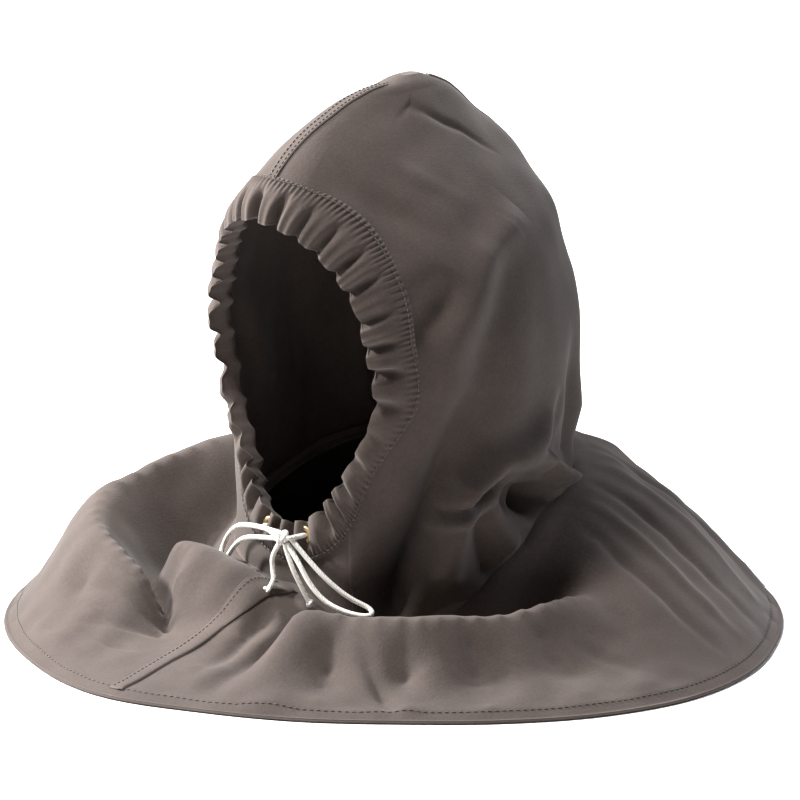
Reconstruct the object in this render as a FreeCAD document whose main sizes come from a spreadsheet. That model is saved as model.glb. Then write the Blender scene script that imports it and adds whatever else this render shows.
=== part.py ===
import FreeCAD, Part
import math
import os

import Sketcher

# Cape hood of flame-retardant cotton, standing as it does when it is worn.
# Frame: +Z up, the table is z = 0, the face opening looks along -Y, +X is the wearer's left.
# The origin is the middle of the hem's circle. Everything is in millimetres.

Vector = FreeCAD.Vector

SIZES = {
    # the hood's level sections, from the neck up to the pointed crown
    "peak_height": 335.0,
    "eye_height": 200.0,
    "jaw_height": 115.0,
    "base_height": 24.0,
    "head_half_width": 93.0,
    "head_half_length": 118.0,
    "neck_half_width": 95.0,
    "neck_half_length": 101.0,
    "neck_setback": 11.0,
    "peak_setback": 12.0,
    "crown_length_taper": 0.8,
    "crown_width_taper": 3.0,
    "ridge_half_width": 9.0,
    "cloth": 2.0,
    # the face opening and the casing that gathers it
    "opening_height": 174.0,
    "opening_half_width": 65.5,
    "opening_half_height": 94.0,
    "casing_side_width": 16.5,
    "casing_end_width": 25.0,
    "casing_proud": 3.0,
    "casing_depth": 5.0,
    "tunnel_inset": 8.0,
    "tunnel_radius": 2.6,
    "chin_half_width": 45.0,
    # the slanted neck seam, low at the chin and high at the nape
    "neck_front_height": 42.0,
    "neck_back_height": 106.0,
    "neck_allowance": 26.0,
    "neck_fit": 1.5,
    "tape_drop": 6.0,
    "tape_width": 12.0,
    "tape_cloth": 1.2,
    # the cape
    "hem_radius": 233.0,
    "hem_width": 10.0,
    "hem_cloth": 2.4,
    "neck_dip": 24.0,
    "trough_depth": 27.0,
    "roll_rise": 18.0,
    # felled seams and their sewing thread
    "fell_width": 10.0,
    "fell_cloth": 1.2,
    "thread": 0.5,
    "thread_inset": 1.5,
    # eyelets
    "eyelet_offset": 15.0,
    "eyelet_inset": 6.0,
    "eyelet_clearance": 1.5,
    "eyelet_wall": 0.5,
    "eyelet_flange": 5.6,
    "eyelet_metal": 0.8,
    "washer_radius": 5.1,
    "grip": 0.6,
    # drawcord and bow
    "cord_radius": 1.5,
    "knot_side": 8.0,
    "knot_reach": 11.0,
    "knot_half_width": 4.6,
    "knot_half_height": 5.4,
    "end_knot_radius": 2.3,
}

CROWN_STEPS = (20, 36, 50, 64, 76, 84)
FAR = 400.0
FIT_GAP = 0.1

doc = FreeCAD.newDocument("CapeHood")
sheet = doc.addObject("Spreadsheet::Sheet", "Sizes")
for row, (alias, value) in enumerate(SIZES.items(), start=1):
    sheet.set(f"A{row}", alias)
    sheet.set(f"B{row}", str(value))
    sheet.setAlias(f"B{row}", alias)
doc.recompute()

sub_parts = []


def size(alias):
    """The value that the sheet holds for one driving dimension."""
    return float(sheet.get(alias))


def bind(thing, **expressions):
    """Bind properties to the sheet; a double underscore in a name stands for a dot."""
    for path, expression in expressions.items():
        thing.setExpression(path.replace("__", "."), str(expression))
    return thing


def keep(thing, label):
    """Name a finished sub-part, so that it is checked and written out."""
    thing.Label = label
    sub_parts.append(thing)
    return thing


# ---------------------------------------------------------------- builders


def level_ellipse(name, half_width, half_length, centre, height):
    """One level section; the hood is longer than it is wide, so its major axis lies along Y."""
    ellipse = doc.addObject("Part::Ellipse", name)
    ellipse.Placement.Rotation = FreeCAD.Rotation(Vector(0, 0, 1), 90)
    bind(
        ellipse,
        MajorRadius=half_length,
        MinorRadius=half_width,
        Placement__Base__y=centre,
        Placement__Base__z=height,
    )
    return ellipse


def layer(name, grow):
    """A closed solid of the hood's shape, larger than the cloth's outside by the expression grow."""
    neck = (
        f"Sizes.neck_half_width + {grow}",
        f"Sizes.neck_half_length + {grow}",
        "Sizes.neck_setback",
    )
    half_way = (
        f"(Sizes.neck_half_width + Sizes.head_half_width) / 2 + {grow}",
        f"(Sizes.neck_half_length + Sizes.head_half_length) / 2 + {grow}",
        "Sizes.neck_setback / 2",
    )
    head = (f"Sizes.head_half_width + {grow}", f"Sizes.head_half_length + {grow}", "0")
    levels = [
        (*neck, "Sizes.base_height"),
        (*neck, "(Sizes.base_height + Sizes.jaw_height) / 2"),
        (*neck, "Sizes.jaw_height"),
        (*half_way, "(Sizes.jaw_height + Sizes.eye_height) / 2"),
        (*head, "Sizes.eye_height"),
    ]
    for step in CROWN_STEPS:
        narrowing = f"cos({step} deg) ^ Sizes.crown_width_taper"
        widening = f"(Sizes.head_half_width - Sizes.ridge_half_width) * {narrowing}"
        levels.append(
            (
                f"Sizes.ridge_half_width + {widening} + {grow}",
                f"Sizes.head_half_length * cos({step} deg) ^ Sizes.crown_length_taper + {grow}",
                f"Sizes.peak_setback * sin({step} deg) ^ 4",
                f"Sizes.eye_height + (Sizes.peak_height + {grow} - Sizes.eye_height) * sin({step} deg)",
            )
        )
    loft = doc.addObject("Part::Loft", name)
    loft.Sections = [level_ellipse(f"{name}_level_{n}", *level) for n, level in enumerate(levels)]
    loft.Solid = True
    loft.Ruled = False
    return loft


def oval_prism(name, half_width, half_height):
    """An upright oval drawn on the XZ plane and run out to the front."""
    ellipse = doc.addObject("Part::Ellipse", f"{name}_outline")
    ellipse.Placement.Rotation = FreeCAD.Rotation(Vector(0, 0, 1), Vector(1, 0, 0), Vector(0, 1, 0), "XYZ")
    bind(
        ellipse,
        MajorRadius=half_height,
        MinorRadius=half_width,
        Placement__Base__z="Sizes.opening_height",
    )
    prism = doc.addObject("Part::Extrusion", name)
    prism.Base = ellipse
    prism.DirMode = "Custom"
    prism.Dir = Vector(0, -1, 0)
    prism.LengthFwd = FAR
    prism.Solid = True
    return prism


def block(name, length, width, height, x, y, z):
    """A box for cutting with, given by its size and its lowest corner."""
    box = doc.addObject("Part::Box", name)
    bind(
        box,
        Length=length,
        Width=width,
        Height=height,
        Placement__Base__x=x,
        Placement__Base__y=y,
        Placement__Base__z=z,
    )
    return box


def slanted_slab(name, height, lift):
    """A slab lying along the neck seam's plane, its underside lift above the cape's neck edge."""
    box = doc.addObject("Part::Box", name)
    bind(
        box,
        Length=2 * FAR,
        Width=2 * FAR,
        Height=height,
        Placement__Base__x=-FAR,
        Placement__Base__y=f"Sizes.neck_setback - {FAR} * cos({NECK_SLOPE})",
        Placement__Base__z=f"{NECK_MIDDLE} + {lift} - {FAR} * sin({NECK_SLOPE})",
        Placement__Rotation__Axis__x=1,
        Placement__Rotation__Axis__z=0,
        Placement__Rotation__Angle=NECK_SLOPE,
    )
    return box


def cut(name, base, tool):
    """base with tool taken away."""
    result = doc.addObject("Part::Cut", name)
    result.Base = base
    result.Tool = tool
    return result


def common(name, *shapes):
    """What all the shapes share."""
    result = doc.addObject("Part::MultiCommon", name)
    result.Shapes = list(shapes)
    return result


def turned_body(label, points, angle="360", turn_from=0.0):
    """A PartDesign body: a closed profile of (radius, height) expressions turned about Z."""
    body = doc.addObject("PartDesign::Body", label)
    sketch = body.newObject("Sketcher::SketchObject", f"{label}_profile")
    plane = next(f for f in body.Origin.OriginFeatures if f.Role == "XZ_Plane")
    sketch.AttachmentSupport = (plane, "")
    sketch.MapMode = "FlatFace"
    doc.recompute()
    corners = [(evaluate(radius), evaluate(height)) for radius, height in points]
    for here, there in zip(corners, corners[1:] + corners[:1]):
        sketch.addGeometry(Part.LineSegment(Vector(*here, 0), Vector(*there, 0)))
    for n, (radius, height) in enumerate(points):
        sketch.addConstraint(Sketcher.Constraint("Coincident", n - 1 if n else len(points) - 1, 2, n, 1))
        for kind, name, expression, value in (
            ("DistanceX", f"radius_{n}", radius, corners[n][0]),
            ("DistanceY", f"height_{n}", height, corners[n][1]),
        ):
            index = sketch.addConstraint(Sketcher.Constraint(kind, -1, 1, n, 1, value))
            sketch.renameConstraint(index, name)
            sketch.setExpression(f"Constraints.{name}", str(expression))
    turn = body.newObject("PartDesign::Revolution", f"{label}_turn")
    turn.Profile = sketch
    turn.ReferenceAxis = (sketch, ["V_Axis"])
    turn.setExpression("Angle", angle)
    body.Placement.Rotation = FreeCAD.Rotation(Vector(0, 0, 1), turn_from)
    doc.recompute()
    return body


def evaluate(expression):
    """The number that an expression on the sheet comes to."""
    value = sheet.evalExpression(str(expression))
    return float(getattr(value, "Value", value))


def rounded_wire(points):
    """Straight runs joined by tangent arcs, each arc as large as its two runs allow."""
    edges = []
    radii = []
    start = points[0]
    for before, corner, after in zip(points, points[1:], points[2:]):
        back = before - corner
        ahead = after - corner
        run = min(back.Length, ahead.Length)
        back.normalize()
        ahead.normalize()
        half_turn = (math.pi - back.getAngle(ahead)) / 2
        reach = RUN_SHARE * run
        radius = reach / math.tan(half_turn)
        enter = corner + back * reach
        leave = corner + ahead * reach
        middle_way = back + ahead
        middle_way.normalize()
        middle = corner + middle_way * (radius / math.cos(half_turn) - radius)
        edges.append(Part.LineSegment(start, enter).toShape())
        edges.append(Part.Arc(enter, middle, leave).toShape())
        radii.append(radius)
        start = leave
    edges.append(Part.LineSegment(start, points[-1]).toShape())
    return Part.Wire(edges), radii


def tube_along(points, radius):
    """A round tube along a route, with its smallest bend."""
    wire, radii = rounded_wire(points)
    along = points[1] - points[0]
    ring = Part.Wire(Part.Circle(points[0], along, radius).toShape())
    tube = wire.makePipeShell([ring], True, False)
    return tube, wire.Length, min(radii)


def cord_piece(label, points):
    """One stretch of the drawcord as a plain tube, its size printed for comparison."""
    radius = size("cord_radius")
    tube, length, bend = tube_along(points, radius)
    feature = doc.addObject("Part::Feature", label)
    feature.Shape = tube
    share = tube.Volume / (math.pi * radius**2 * length)
    print(f"{label}: {length:.0f} mm long, tightest bend {bend:.1f} mm, volume share {share:.3f}")
    return keep(feature, label)


RUN_SHARE = 0.45
NECK_SLOPE = "atan((Sizes.neck_back_height - Sizes.neck_front_height) / (2 * Sizes.neck_half_length))"
NECK_MIDDLE = "(Sizes.neck_back_height + Sizes.neck_front_height) / 2"
EYELET_Z = "(Sizes.opening_height - Sizes.opening_half_height - Sizes.eyelet_inset)"
EYELET_BORE = "(Sizes.cord_radius + Sizes.eyelet_clearance)"
EYELET_BARREL = "(Sizes.cord_radius + Sizes.eyelet_clearance + Sizes.eyelet_wall)"

# ---------------------------------------------------------------- layers and cutters of the hood

outside = layer("outside", "0")
inside = layer("inside", "(-Sizes.cloth)")
tape_inside = layer("tape_inside", "(-Sizes.cloth - Sizes.tape_cloth)")
fell_outside = layer("fell_outside", "Sizes.fell_cloth")
thread_outside = layer("thread_outside", "(Sizes.fell_cloth + Sizes.thread)")
casing_outside = layer("casing_outside", "Sizes.casing_proud")
casing_inside = layer("casing_inside", "(-Sizes.casing_depth)")
casing_thread_outside = layer("casing_thread_outside", "(Sizes.casing_proud + Sizes.thread)")
cord_layer = layer("cord_layer", "((Sizes.casing_proud - Sizes.casing_depth) / 2)")

SEAM_HALF_WIDTH = "Sizes.opening_half_width + Sizes.casing_side_width"
SEAM_HALF_HEIGHT = "Sizes.opening_half_height + Sizes.casing_end_width"
opening = oval_prism("opening", "Sizes.opening_half_width", "Sizes.opening_half_height")
seam_oval = oval_prism("seam_oval", SEAM_HALF_WIDTH, SEAM_HALF_HEIGHT)
thread_oval = oval_prism(
    "thread_oval",
    f"{SEAM_HALF_WIDTH} - Sizes.thread_inset",
    f"{SEAM_HALF_HEIGHT} - Sizes.thread_inset",
)
thread_oval_inner = oval_prism(
    "thread_oval_inner",
    f"{SEAM_HALF_WIDTH} - Sizes.thread_inset - Sizes.thread",
    f"{SEAM_HALF_HEIGHT} - Sizes.thread_inset - Sizes.thread",
)

left_side = block("left_side", FAR, 2 * FAR, 2 * FAR, 0, -FAR, -FAR)
right_side = block("right_side", FAR, 2 * FAR, 2 * FAR, -FAR, -FAR, -FAR)
chin_block = block(
    "chin_block",
    "2 * Sizes.chin_half_width",
    FAR,
    "Sizes.opening_height",
    "-Sizes.chin_half_width",
    -FAR,
    0,
)
above_neck = slanted_slab("above_neck", 2 * FAR, "(-Sizes.neck_allowance)")
neck_slab = slanted_slab("neck_slab", "Sizes.tape_width", "(-Sizes.tape_drop)")
neck_thread_slab = slanted_slab("neck_thread_slab", "Sizes.thread", "(Sizes.cloth + Sizes.thread_inset)")

# ---------------------------------------------------------------- hood panels and chin panel

shell = cut("shell", outside, inside)
open_shell = cut("open_shell", shell, seam_oval)
hood_shell = common("hood_shell", open_shell, above_neck)
side_shell = cut("side_shell", hood_shell, chin_block)
keep(common("left_panel", side_shell, left_side), "hood_panel_left")
keep(common("right_panel", side_shell, right_side), "hood_panel_right")
keep(common("under_chin", hood_shell, chin_block), "chin_panel")

# ---------------------------------------------------------------- crown seam, from brow to nape

fell_strip = block(
    "fell_strip", "Sizes.fell_width", 2 * FAR, 2 * FAR, "-Sizes.fell_width / 2", -FAR, 0
)
fell_layer = cut("fell_layer", fell_outside, outside)
fell_behind_casing = cut("fell_behind_casing", fell_layer, seam_oval)
fell_above_neck = slanted_slab("fell_above_neck", 2 * FAR, "(Sizes.cloth + 3 * Sizes.thread_inset)")
fell_over_crown = common("fell_over_crown", fell_behind_casing, fell_strip, fell_above_neck)
keep(cut("crown_fell", fell_over_crown, chin_block), "crown_seam_fell")

thread_layer = cut("thread_layer", thread_outside, fell_outside)
thread_behind_casing = cut("thread_behind_casing", thread_layer, seam_oval)
thread_rows = doc.addObject("Part::MultiFuse", "thread_rows")
thread_rows.Shapes = [
    block(f"thread_row_{side}", "Sizes.thread", 2 * FAR, 2 * FAR, edge, -FAR, 0)
    for side, edge in (
        ("left", "Sizes.fell_width / 2 - Sizes.thread_inset - Sizes.thread"),
        ("right", "-Sizes.fell_width / 2 + Sizes.thread_inset"),
    )
]
crown_thread = common("crown_thread", thread_behind_casing, thread_rows, fell_above_neck)
keep(cut("crown_thread_rows", crown_thread, chin_block), "crown_seam_stitching")

# ---------------------------------------------------------------- neck seam

tape_layer = cut("tape_layer", inside, tape_inside)
keep(common("neck_tape", tape_layer, neck_slab), "neck_seam_tape")

neck_thread_outside = layer("neck_thread_outside", "Sizes.thread")
neck_thread_layer = cut("neck_thread_layer", neck_thread_outside, outside)
keep(common("neck_thread", neck_thread_layer, neck_thread_slab), "neck_seam_stitching")

# ---------------------------------------------------------------- cape


def neck_point(bearing):
    """Where the cape starts, just outside the hood; bearing 0 is the front, 90 degrees is +X."""
    x = (size("neck_half_width") + size("neck_fit")) * math.sin(bearing)
    y = size("neck_setback") - (size("neck_half_length") + size("neck_fit")) * math.cos(bearing)
    rise = (size("neck_back_height") - size("neck_front_height")) * (1 - math.cos(bearing)) / 2
    return Vector(x, y, size("neck_front_height") + rise)


def hem_point(bearing):
    """Where the cape ends, on the inner edge of the hem."""
    radius = size("hem_radius") - size("hem_width")
    return Vector(radius * math.sin(bearing), -radius * math.cos(bearing), 0)


def bell(value, middle, spread):
    """A smooth bump of height 1."""
    return math.exp(-(((value - middle) / spread) ** 2))


def within(bearing, first, last):
    """A smooth window over bearings in degrees: 1 in its middle, 0 at its ends and outside."""
    degrees = (math.degrees(bearing) + 180) % 360 - 180
    if not first < degrees < last:
        return 0.0
    return math.sin(math.pi * (degrees - first) / (last - first)) ** 2


def cape_point(bearing, share, lift):
    """A point of the cape's underside plus lift; share runs from 0 at the neck to 1 at the hem."""
    start = neck_point(bearing)
    point = start + (hem_point(bearing) - start) * share
    fold = size("roll_rise") * bell(share, ROLL_SHARE, ROLL_SPREAD)
    fold -= size("trough_depth") * bell(share, TROUGH_SHARE, TROUGH_SPREAD)
    fold *= math.sin(math.pi * share) * within(bearing, *TROUGH_WINDOW)
    fold -= size("neck_dip") * bell(share, 0, DIP_SPREAD) * within(bearing, *DIP_WINDOW)
    point.z += lift + fold
    return point


def cape_strip(bearings, shares, lift, thickness):
    """A closed piece of cloth that follows the cape between two bearings and two shares."""
    skins = []
    for height in (lift, lift + thickness):
        skin = Part.BSplineSurface()
        skin.interpolate([[cape_point(b, s, height) for s in shares] for b in bearings])
        skins.append(skin.toShape())
    walls = [Part.makeRuledSurface(low, high) for low, high in zip(skins[0].Edges, skins[1].Edges)]
    solid = Part.Solid(Part.Shell([*skins, *walls]))
    solid.fix(1e-3, 1e-3, 1e-3)
    if solid.Volume < 0:
        solid.reverse()
    return solid


def spread(first, last, count):
    """Evenly spaced values, both ends among them."""
    return [first + (last - first) * n / (count - 1) for n in range(count)]


def cape_feature(label, *solids):
    """A sub-part made of one or more pieces that follow the cape."""
    feature = doc.addObject("Part::Feature", label)
    feature.Shape = solids[0] if len(solids) == 1 else Part.makeCompound(solids)
    return keep(feature, label)


def seam_strips(bearing, offset, width, lift, thickness):
    """A strip along a radial seam, width wide, its middle offset sideways from the seam."""
    radius = size("hem_radius")
    low = bearing + (offset - width / 2) / radius
    high = bearing + (offset + width / 2) / radius
    return cape_strip(spread(low, high, 3), spread(0.03, 0.99, 12), lift, thickness)


TROUGH_WINDOW = (-10, 125)
DIP_WINDOW = (-8, 65)
DIP_SPREAD = 0.18
TROUGH_SHARE = 0.2
TROUGH_SPREAD = 0.13
ROLL_SHARE = 0.46
ROLL_SPREAD = 0.16
FULL_TURN = 2 * math.pi
SIDES = {"left": (0.0, math.pi), "right": (math.pi, FULL_TURN)}

for side, (first, last) in SIDES.items():
    panel = cape_strip(spread(first, last, 33), spread(0.0, 1.0, 19), FIT_GAP, size("cloth"))
    cape_feature(f"cape_{side}", panel)

for seam, bearing in (("front", 0.0), ("back", math.pi)):
    top = size("cloth") + 3 * FIT_GAP
    width = size("fell_width")
    cape_feature(f"{seam}_seam_fell", seam_strips(bearing, 0.0, width, top, size("fell_cloth")))
    row_offset = width / 2 - size("thread_inset")
    rows = [
        seam_strips(bearing, offset, size("thread"), top + size("fell_cloth"), size("thread"))
        for offset in (-row_offset, row_offset)
    ]
    cape_feature(f"{seam}_seam_stitching", *rows)

# ---------------------------------------------------------------- hem

HEM_PROFILE = (
    ("Sizes.hem_radius - Sizes.hem_width", "0"),
    ("Sizes.hem_radius - Sizes.hem_cloth / 3", "0"),
    ("Sizes.hem_radius", "Sizes.hem_cloth / 3"),
    ("Sizes.hem_radius", "Sizes.hem_cloth * 2 / 3"),
    ("Sizes.hem_radius - Sizes.hem_cloth / 3", "Sizes.hem_cloth"),
    ("Sizes.hem_radius - Sizes.hem_width", "Sizes.hem_cloth"),
)
HEM_THREAD = (
    ("Sizes.hem_radius - Sizes.hem_width + Sizes.thread_inset", "Sizes.hem_cloth"),
    ("Sizes.hem_radius - Sizes.hem_width + Sizes.thread_inset + Sizes.thread", "Sizes.hem_cloth"),
    (
        "Sizes.hem_radius - Sizes.hem_width + Sizes.thread_inset + Sizes.thread",
        "Sizes.hem_cloth + Sizes.thread",
    ),
    ("Sizes.hem_radius - Sizes.hem_width + Sizes.thread_inset", "Sizes.hem_cloth + Sizes.thread"),
)
keep(turned_body("hem_band_left", HEM_PROFILE, "180", -90.0), "hem_band_left")
keep(turned_body("hem_band_right", HEM_PROFILE, "180", 90.0), "hem_band_right")
keep(turned_body("hem_stitching", HEM_THREAD), "hem_stitching")

# ---------------------------------------------------------------- route of the drawcord

doc.recompute()


def front_of(solid, x, z):
    """The y of a layer's front at a given place, seen from the front."""
    ray = Part.makeLine(Vector(x, -FAR, z), Vector(x, 0, z))
    return solid.common(ray).BoundBox.YMin


def tunnel_point(turn):
    """A point on the middle of the tunnel; turn 0 is under the chin, 180 degrees is the brow."""
    x = (size("opening_half_width") + size("tunnel_inset")) * math.sin(turn)
    z = size("opening_height") - (size("opening_half_height") + size("tunnel_inset")) * math.cos(turn)
    return Vector(x, front_of(cord_layer.Shape, x, z), z)


eyelet_x = size("eyelet_offset")
eyelet_z = evaluate(EYELET_Z)
face_y = front_of(casing_outside.Shape, eyelet_x, eyelet_z)
layer_y = front_of(cord_layer.Shape, eyelet_x, eyelet_z)
knot = Vector(size("knot_side"), face_y - size("knot_reach"), eyelet_z)

TUNNEL_STEPS = 26
LEAD_RUN = 9.0
MOUTH_RUN = 5.0
CORD_GAP = 0.5
first_turn = math.asin((eyelet_x + LEAD_RUN) / (size("opening_half_width") + size("tunnel_inset")))
tunnel_turns = spread(first_turn, FULL_TURN - first_turn, TUNNEL_STEPS)
cord_in_casing = [tunnel_point(turn) for turn in tunnel_turns]


def lead_route(side, cord_end):
    """From just short of the cord in the tunnel, round the corner, out of the eyelet, to the knot."""
    corner = Vector(side * eyelet_x, layer_y, eyelet_z)
    start = cord_end + (corner - cord_end).normalize() * CORD_GAP
    mouth = Vector(side * eyelet_x, face_y - MOUTH_RUN, eyelet_z)
    arrive = Vector(knot.x + side * size("knot_half_width"), knot.y, eyelet_z)
    return [start, corner, mouth, arrive]


left_lead = lead_route(1, cord_in_casing[0])
right_lead = lead_route(-1, cord_in_casing[-1])

# ---------------------------------------------------------------- casing with its tunnel

casing_layer = cut("casing_layer", casing_outside, casing_inside)
casing_band = common("casing_band", casing_layer, seam_oval)
casing_ring = cut("casing_ring", casing_band, opening)

tunnel_route_full = [left_lead[1], *cord_in_casing, right_lead[1]]
tunnel_void, _, _ = tube_along(tunnel_route_full, size("tunnel_radius"))
tunnel = doc.addObject("Part::Feature", "tunnel")
tunnel.Shape = tunnel_void
hollow_ring = cut("hollow_ring", casing_ring, tunnel)


def eyelet_cutter(name, radius, start, depth):
    """A cylinder along Y at both eyelets, from start (an expression on y) to the front."""
    pair = doc.addObject("Part::MultiFuse", name)
    shapes = []
    for side, sign in (("left", "1"), ("right", "-1")):
        cylinder = doc.addObject("Part::Cylinder", f"{name}_{side}")
        cylinder.Placement.Rotation = FreeCAD.Rotation(Vector(1, 0, 0), 90)
        bind(
            cylinder,
            Radius=radius,
            Height=depth,
            Placement__Base__x=f"{sign} * Sizes.eyelet_offset",
            Placement__Base__y=start,
            Placement__Base__z=EYELET_Z,
        )
        shapes.append(cylinder)
    pair.Shapes = shapes
    return pair


FACE_Y = (
    "(Sizes.neck_setback - (Sizes.neck_half_length + Sizes.casing_proud)"
    " * sqrt(1 - (Sizes.eyelet_offset / (Sizes.neck_half_width + Sizes.casing_proud)) ^ 2))"
)
LAYER_Y = f"({FACE_Y} + (Sizes.casing_proud + Sizes.casing_depth) / 2)"
SEAT = f"({FACE_Y} + Sizes.eyelet_metal)"
flange_seat = eyelet_cutter("flange_seat", "Sizes.eyelet_flange", SEAT, FAR)
barrel_hole = eyelet_cutter("barrel_hole", EYELET_BARREL, LAYER_Y, FAR)
washer_seat = eyelet_cutter(
    "washer_seat",
    "Sizes.washer_radius",
    f"{LAYER_Y} - Sizes.cord_radius",
    f"{LAYER_Y} - Sizes.cord_radius - {SEAT} - Sizes.grip",
)
seated_ring = cut("seated_ring", hollow_ring, flange_seat)
bored_ring = cut("bored_ring", seated_ring, barrel_hole)
finished_ring = cut("finished_ring", bored_ring, washer_seat)
keep(common("left_casing", finished_ring, left_side), "face_casing_left")
keep(common("right_casing", finished_ring, right_side), "face_casing_right")

thread_ring = cut("thread_ring", thread_oval, thread_oval_inner)
thread_block = common("thread_block", casing_thread_outside, thread_ring)
keep(cut("casing_thread", thread_block, casing_outside), "face_casing_stitching")

# ---------------------------------------------------------------- eyelets and washers

EYELET_PROFILE = (
    (EYELET_BORE, "-Sizes.eyelet_metal"),
    ("Sizes.eyelet_flange - Sizes.eyelet_metal", "-Sizes.eyelet_metal"),
    ("Sizes.eyelet_flange", "-Sizes.eyelet_metal / 2"),
    ("Sizes.eyelet_flange", "0"),
    (EYELET_BARREL, "0"),
    (EYELET_BARREL, "Sizes.grip + Sizes.eyelet_metal"),
    (EYELET_BORE, "Sizes.grip + Sizes.eyelet_metal"),
)
WASHER_PROFILE = (
    (EYELET_BARREL, "Sizes.grip"),
    ("Sizes.washer_radius", "Sizes.grip"),
    ("Sizes.washer_radius", "Sizes.grip + Sizes.eyelet_metal / 2"),
    (EYELET_BARREL, "Sizes.grip + Sizes.eyelet_metal / 2"),
)
for side, sign in (("left", "1"), ("right", "-1")):
    for part, profile in (("eyelet", EYELET_PROFILE), ("eyelet_washer", WASHER_PROFILE)):
        ring = turned_body(f"{part}_{side}", profile)
        ring.Placement.Rotation = FreeCAD.Rotation(Vector(1, 0, 0), -90)
        bind(
            ring,
            Placement__Base__x=f"{sign} * Sizes.eyelet_offset",
            Placement__Base__y=SEAT,
            Placement__Base__z=EYELET_Z,
        )
        keep(ring, f"{part}_{side}")

# ---------------------------------------------------------------- drawcord, leads, knot and bow

cord_piece("drawcord_in_casing", cord_in_casing)
cord_piece("cord_lead_left", left_lead)
cord_piece("cord_lead_right", right_lead)

# Routes of the loops and ends, counted from the middle of the bow knot.
LOOP_LEFT = [
    (-4, 2.3, 1),
    (-18, 1.3, 2),
    (-33, 4.3, 0),
    (-48, 9.3, -4),
    (-60, 12.3, -14),
    (-62, 8.3, -26),
    (-53, 4.3, -26),
    (-45, 5.3, -14),
    (-33, 2.3, -7),
    (-18, 0.3, -4),
    (-4, 0.3, -2),
]
LOOP_RIGHT = [
    (4, 2.3, 0),
    (15, 5.3, -11),
    (28, 9.3, -23),
    (41, 15.3, -33),
    (53, 23.3, -39),
    (57, 18.3, -42),
    (46, 11.3, -41),
    (32, 5.3, -36),
    (21, 2.3, -26),
    (13, 1.3, -14),
    (3, 1.3, -4),
]
END_RIGHT = [
    (2, 0.3, -4),
    (7, 0.3, -16),
    (12, 3.3, -28),
    (17, 6.3, -39),
]
END_LEFT = [
    (-2, 0.3, -4),
    (-6, -2.7, -12),
    (-5, -2.7, -21),
    (-2, -4.7, -28),
    (-3, -9.7, -32),
]
BOW = {
    "bow_loop_left": LOOP_LEFT,
    "bow_loop_right": LOOP_RIGHT,
    "cord_end_right": END_RIGHT,
    "cord_end_left": END_LEFT,
}
for label, route in BOW.items():
    cord_piece(label, [knot + Vector(*offset) for offset in route])

knot_body = doc.addObject("Part::Ellipsoid", "bow_knot")
bind(
    knot_body,
    Radius1="Sizes.knot_half_height",
    Radius2="Sizes.knot_half_width",
    Radius3="Sizes.knot_half_width",
    Placement__Base__x="Sizes.knot_side",
    Placement__Base__y=f"{FACE_Y} - Sizes.knot_reach",
    Placement__Base__z=EYELET_Z,
)
keep(knot_body, "bow_knot")

for label, route in (("end_knot_left", END_LEFT), ("end_knot_right", END_RIGHT)):
    ball = doc.addObject("Part::Sphere", label)
    bind(ball, Radius="Sizes.end_knot_radius")
    ball.Placement.Base = knot + Vector(*route[-1])
    keep(ball, label)

# ---------------------------------------------------------------- check and write

doc.recompute()

for thing in doc.Objects:
    if "Invalid" in thing.State or "Error" in thing.State:
        raise RuntimeError(f"{thing.Label} failed: {thing.State}")

for thing in sub_parts:
    if thing.Shape.isNull() or not thing.Shape.isValid() or not thing.Shape.Solids:
        raise RuntimeError(f"{thing.Label} has no sound shape")

os.makedirs("parts", exist_ok=True)
for thing in sub_parts:
    thing.Shape.exportStep(f"parts/{thing.Label}.step")
    print(thing.Label, len(thing.Shape.Solids), f"{thing.Shape.Volume / 1000:.2f} cm3")
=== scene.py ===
import logging
import math
from dataclasses import dataclass, field
from enum import Enum
from typing import Callable, Sequence

import bpy
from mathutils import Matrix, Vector
import numpy as np


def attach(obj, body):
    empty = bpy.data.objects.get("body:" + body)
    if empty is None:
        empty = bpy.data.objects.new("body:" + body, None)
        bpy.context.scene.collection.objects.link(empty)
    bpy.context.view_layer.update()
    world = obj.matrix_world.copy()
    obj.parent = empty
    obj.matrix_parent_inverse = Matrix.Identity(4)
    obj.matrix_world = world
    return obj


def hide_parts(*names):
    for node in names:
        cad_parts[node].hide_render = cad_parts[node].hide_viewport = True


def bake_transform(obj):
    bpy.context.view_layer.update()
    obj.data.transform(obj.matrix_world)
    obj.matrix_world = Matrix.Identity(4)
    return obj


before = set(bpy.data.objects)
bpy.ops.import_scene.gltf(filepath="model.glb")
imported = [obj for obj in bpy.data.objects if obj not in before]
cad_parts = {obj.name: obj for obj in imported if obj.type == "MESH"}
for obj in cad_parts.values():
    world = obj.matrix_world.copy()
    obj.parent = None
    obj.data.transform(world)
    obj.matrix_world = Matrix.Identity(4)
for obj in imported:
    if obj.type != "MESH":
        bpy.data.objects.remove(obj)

# A cape hood of flame-retardant cotton. Sizes are in millimetres until a mesh is made, which is in metres.
# +Z is up, the face opening looks along -Y, and a bearing of 0 degrees is the front, 90 degrees +X.

LOG = logging.getLogger("cape_hood")
MM = 0.001
HOOD = "hood"
BOW = "bow"
TURN = 2 * math.pi
Triple = tuple[float, float, float]


class Slot(Enum):
    """The finishes that can be changed one by one."""

    CLOTH = "cloth"
    TAPE = "tape"
    THREAD = "thread"
    CORD = "cord"


def deselect() -> None:
    """Leave nothing selected and nothing in edit mode."""
    if bpy.context.object is not None and bpy.context.object.mode != "OBJECT":
        bpy.ops.object.mode_set(mode="OBJECT")
    bpy.ops.object.select_all(action="DESELECT")


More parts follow.
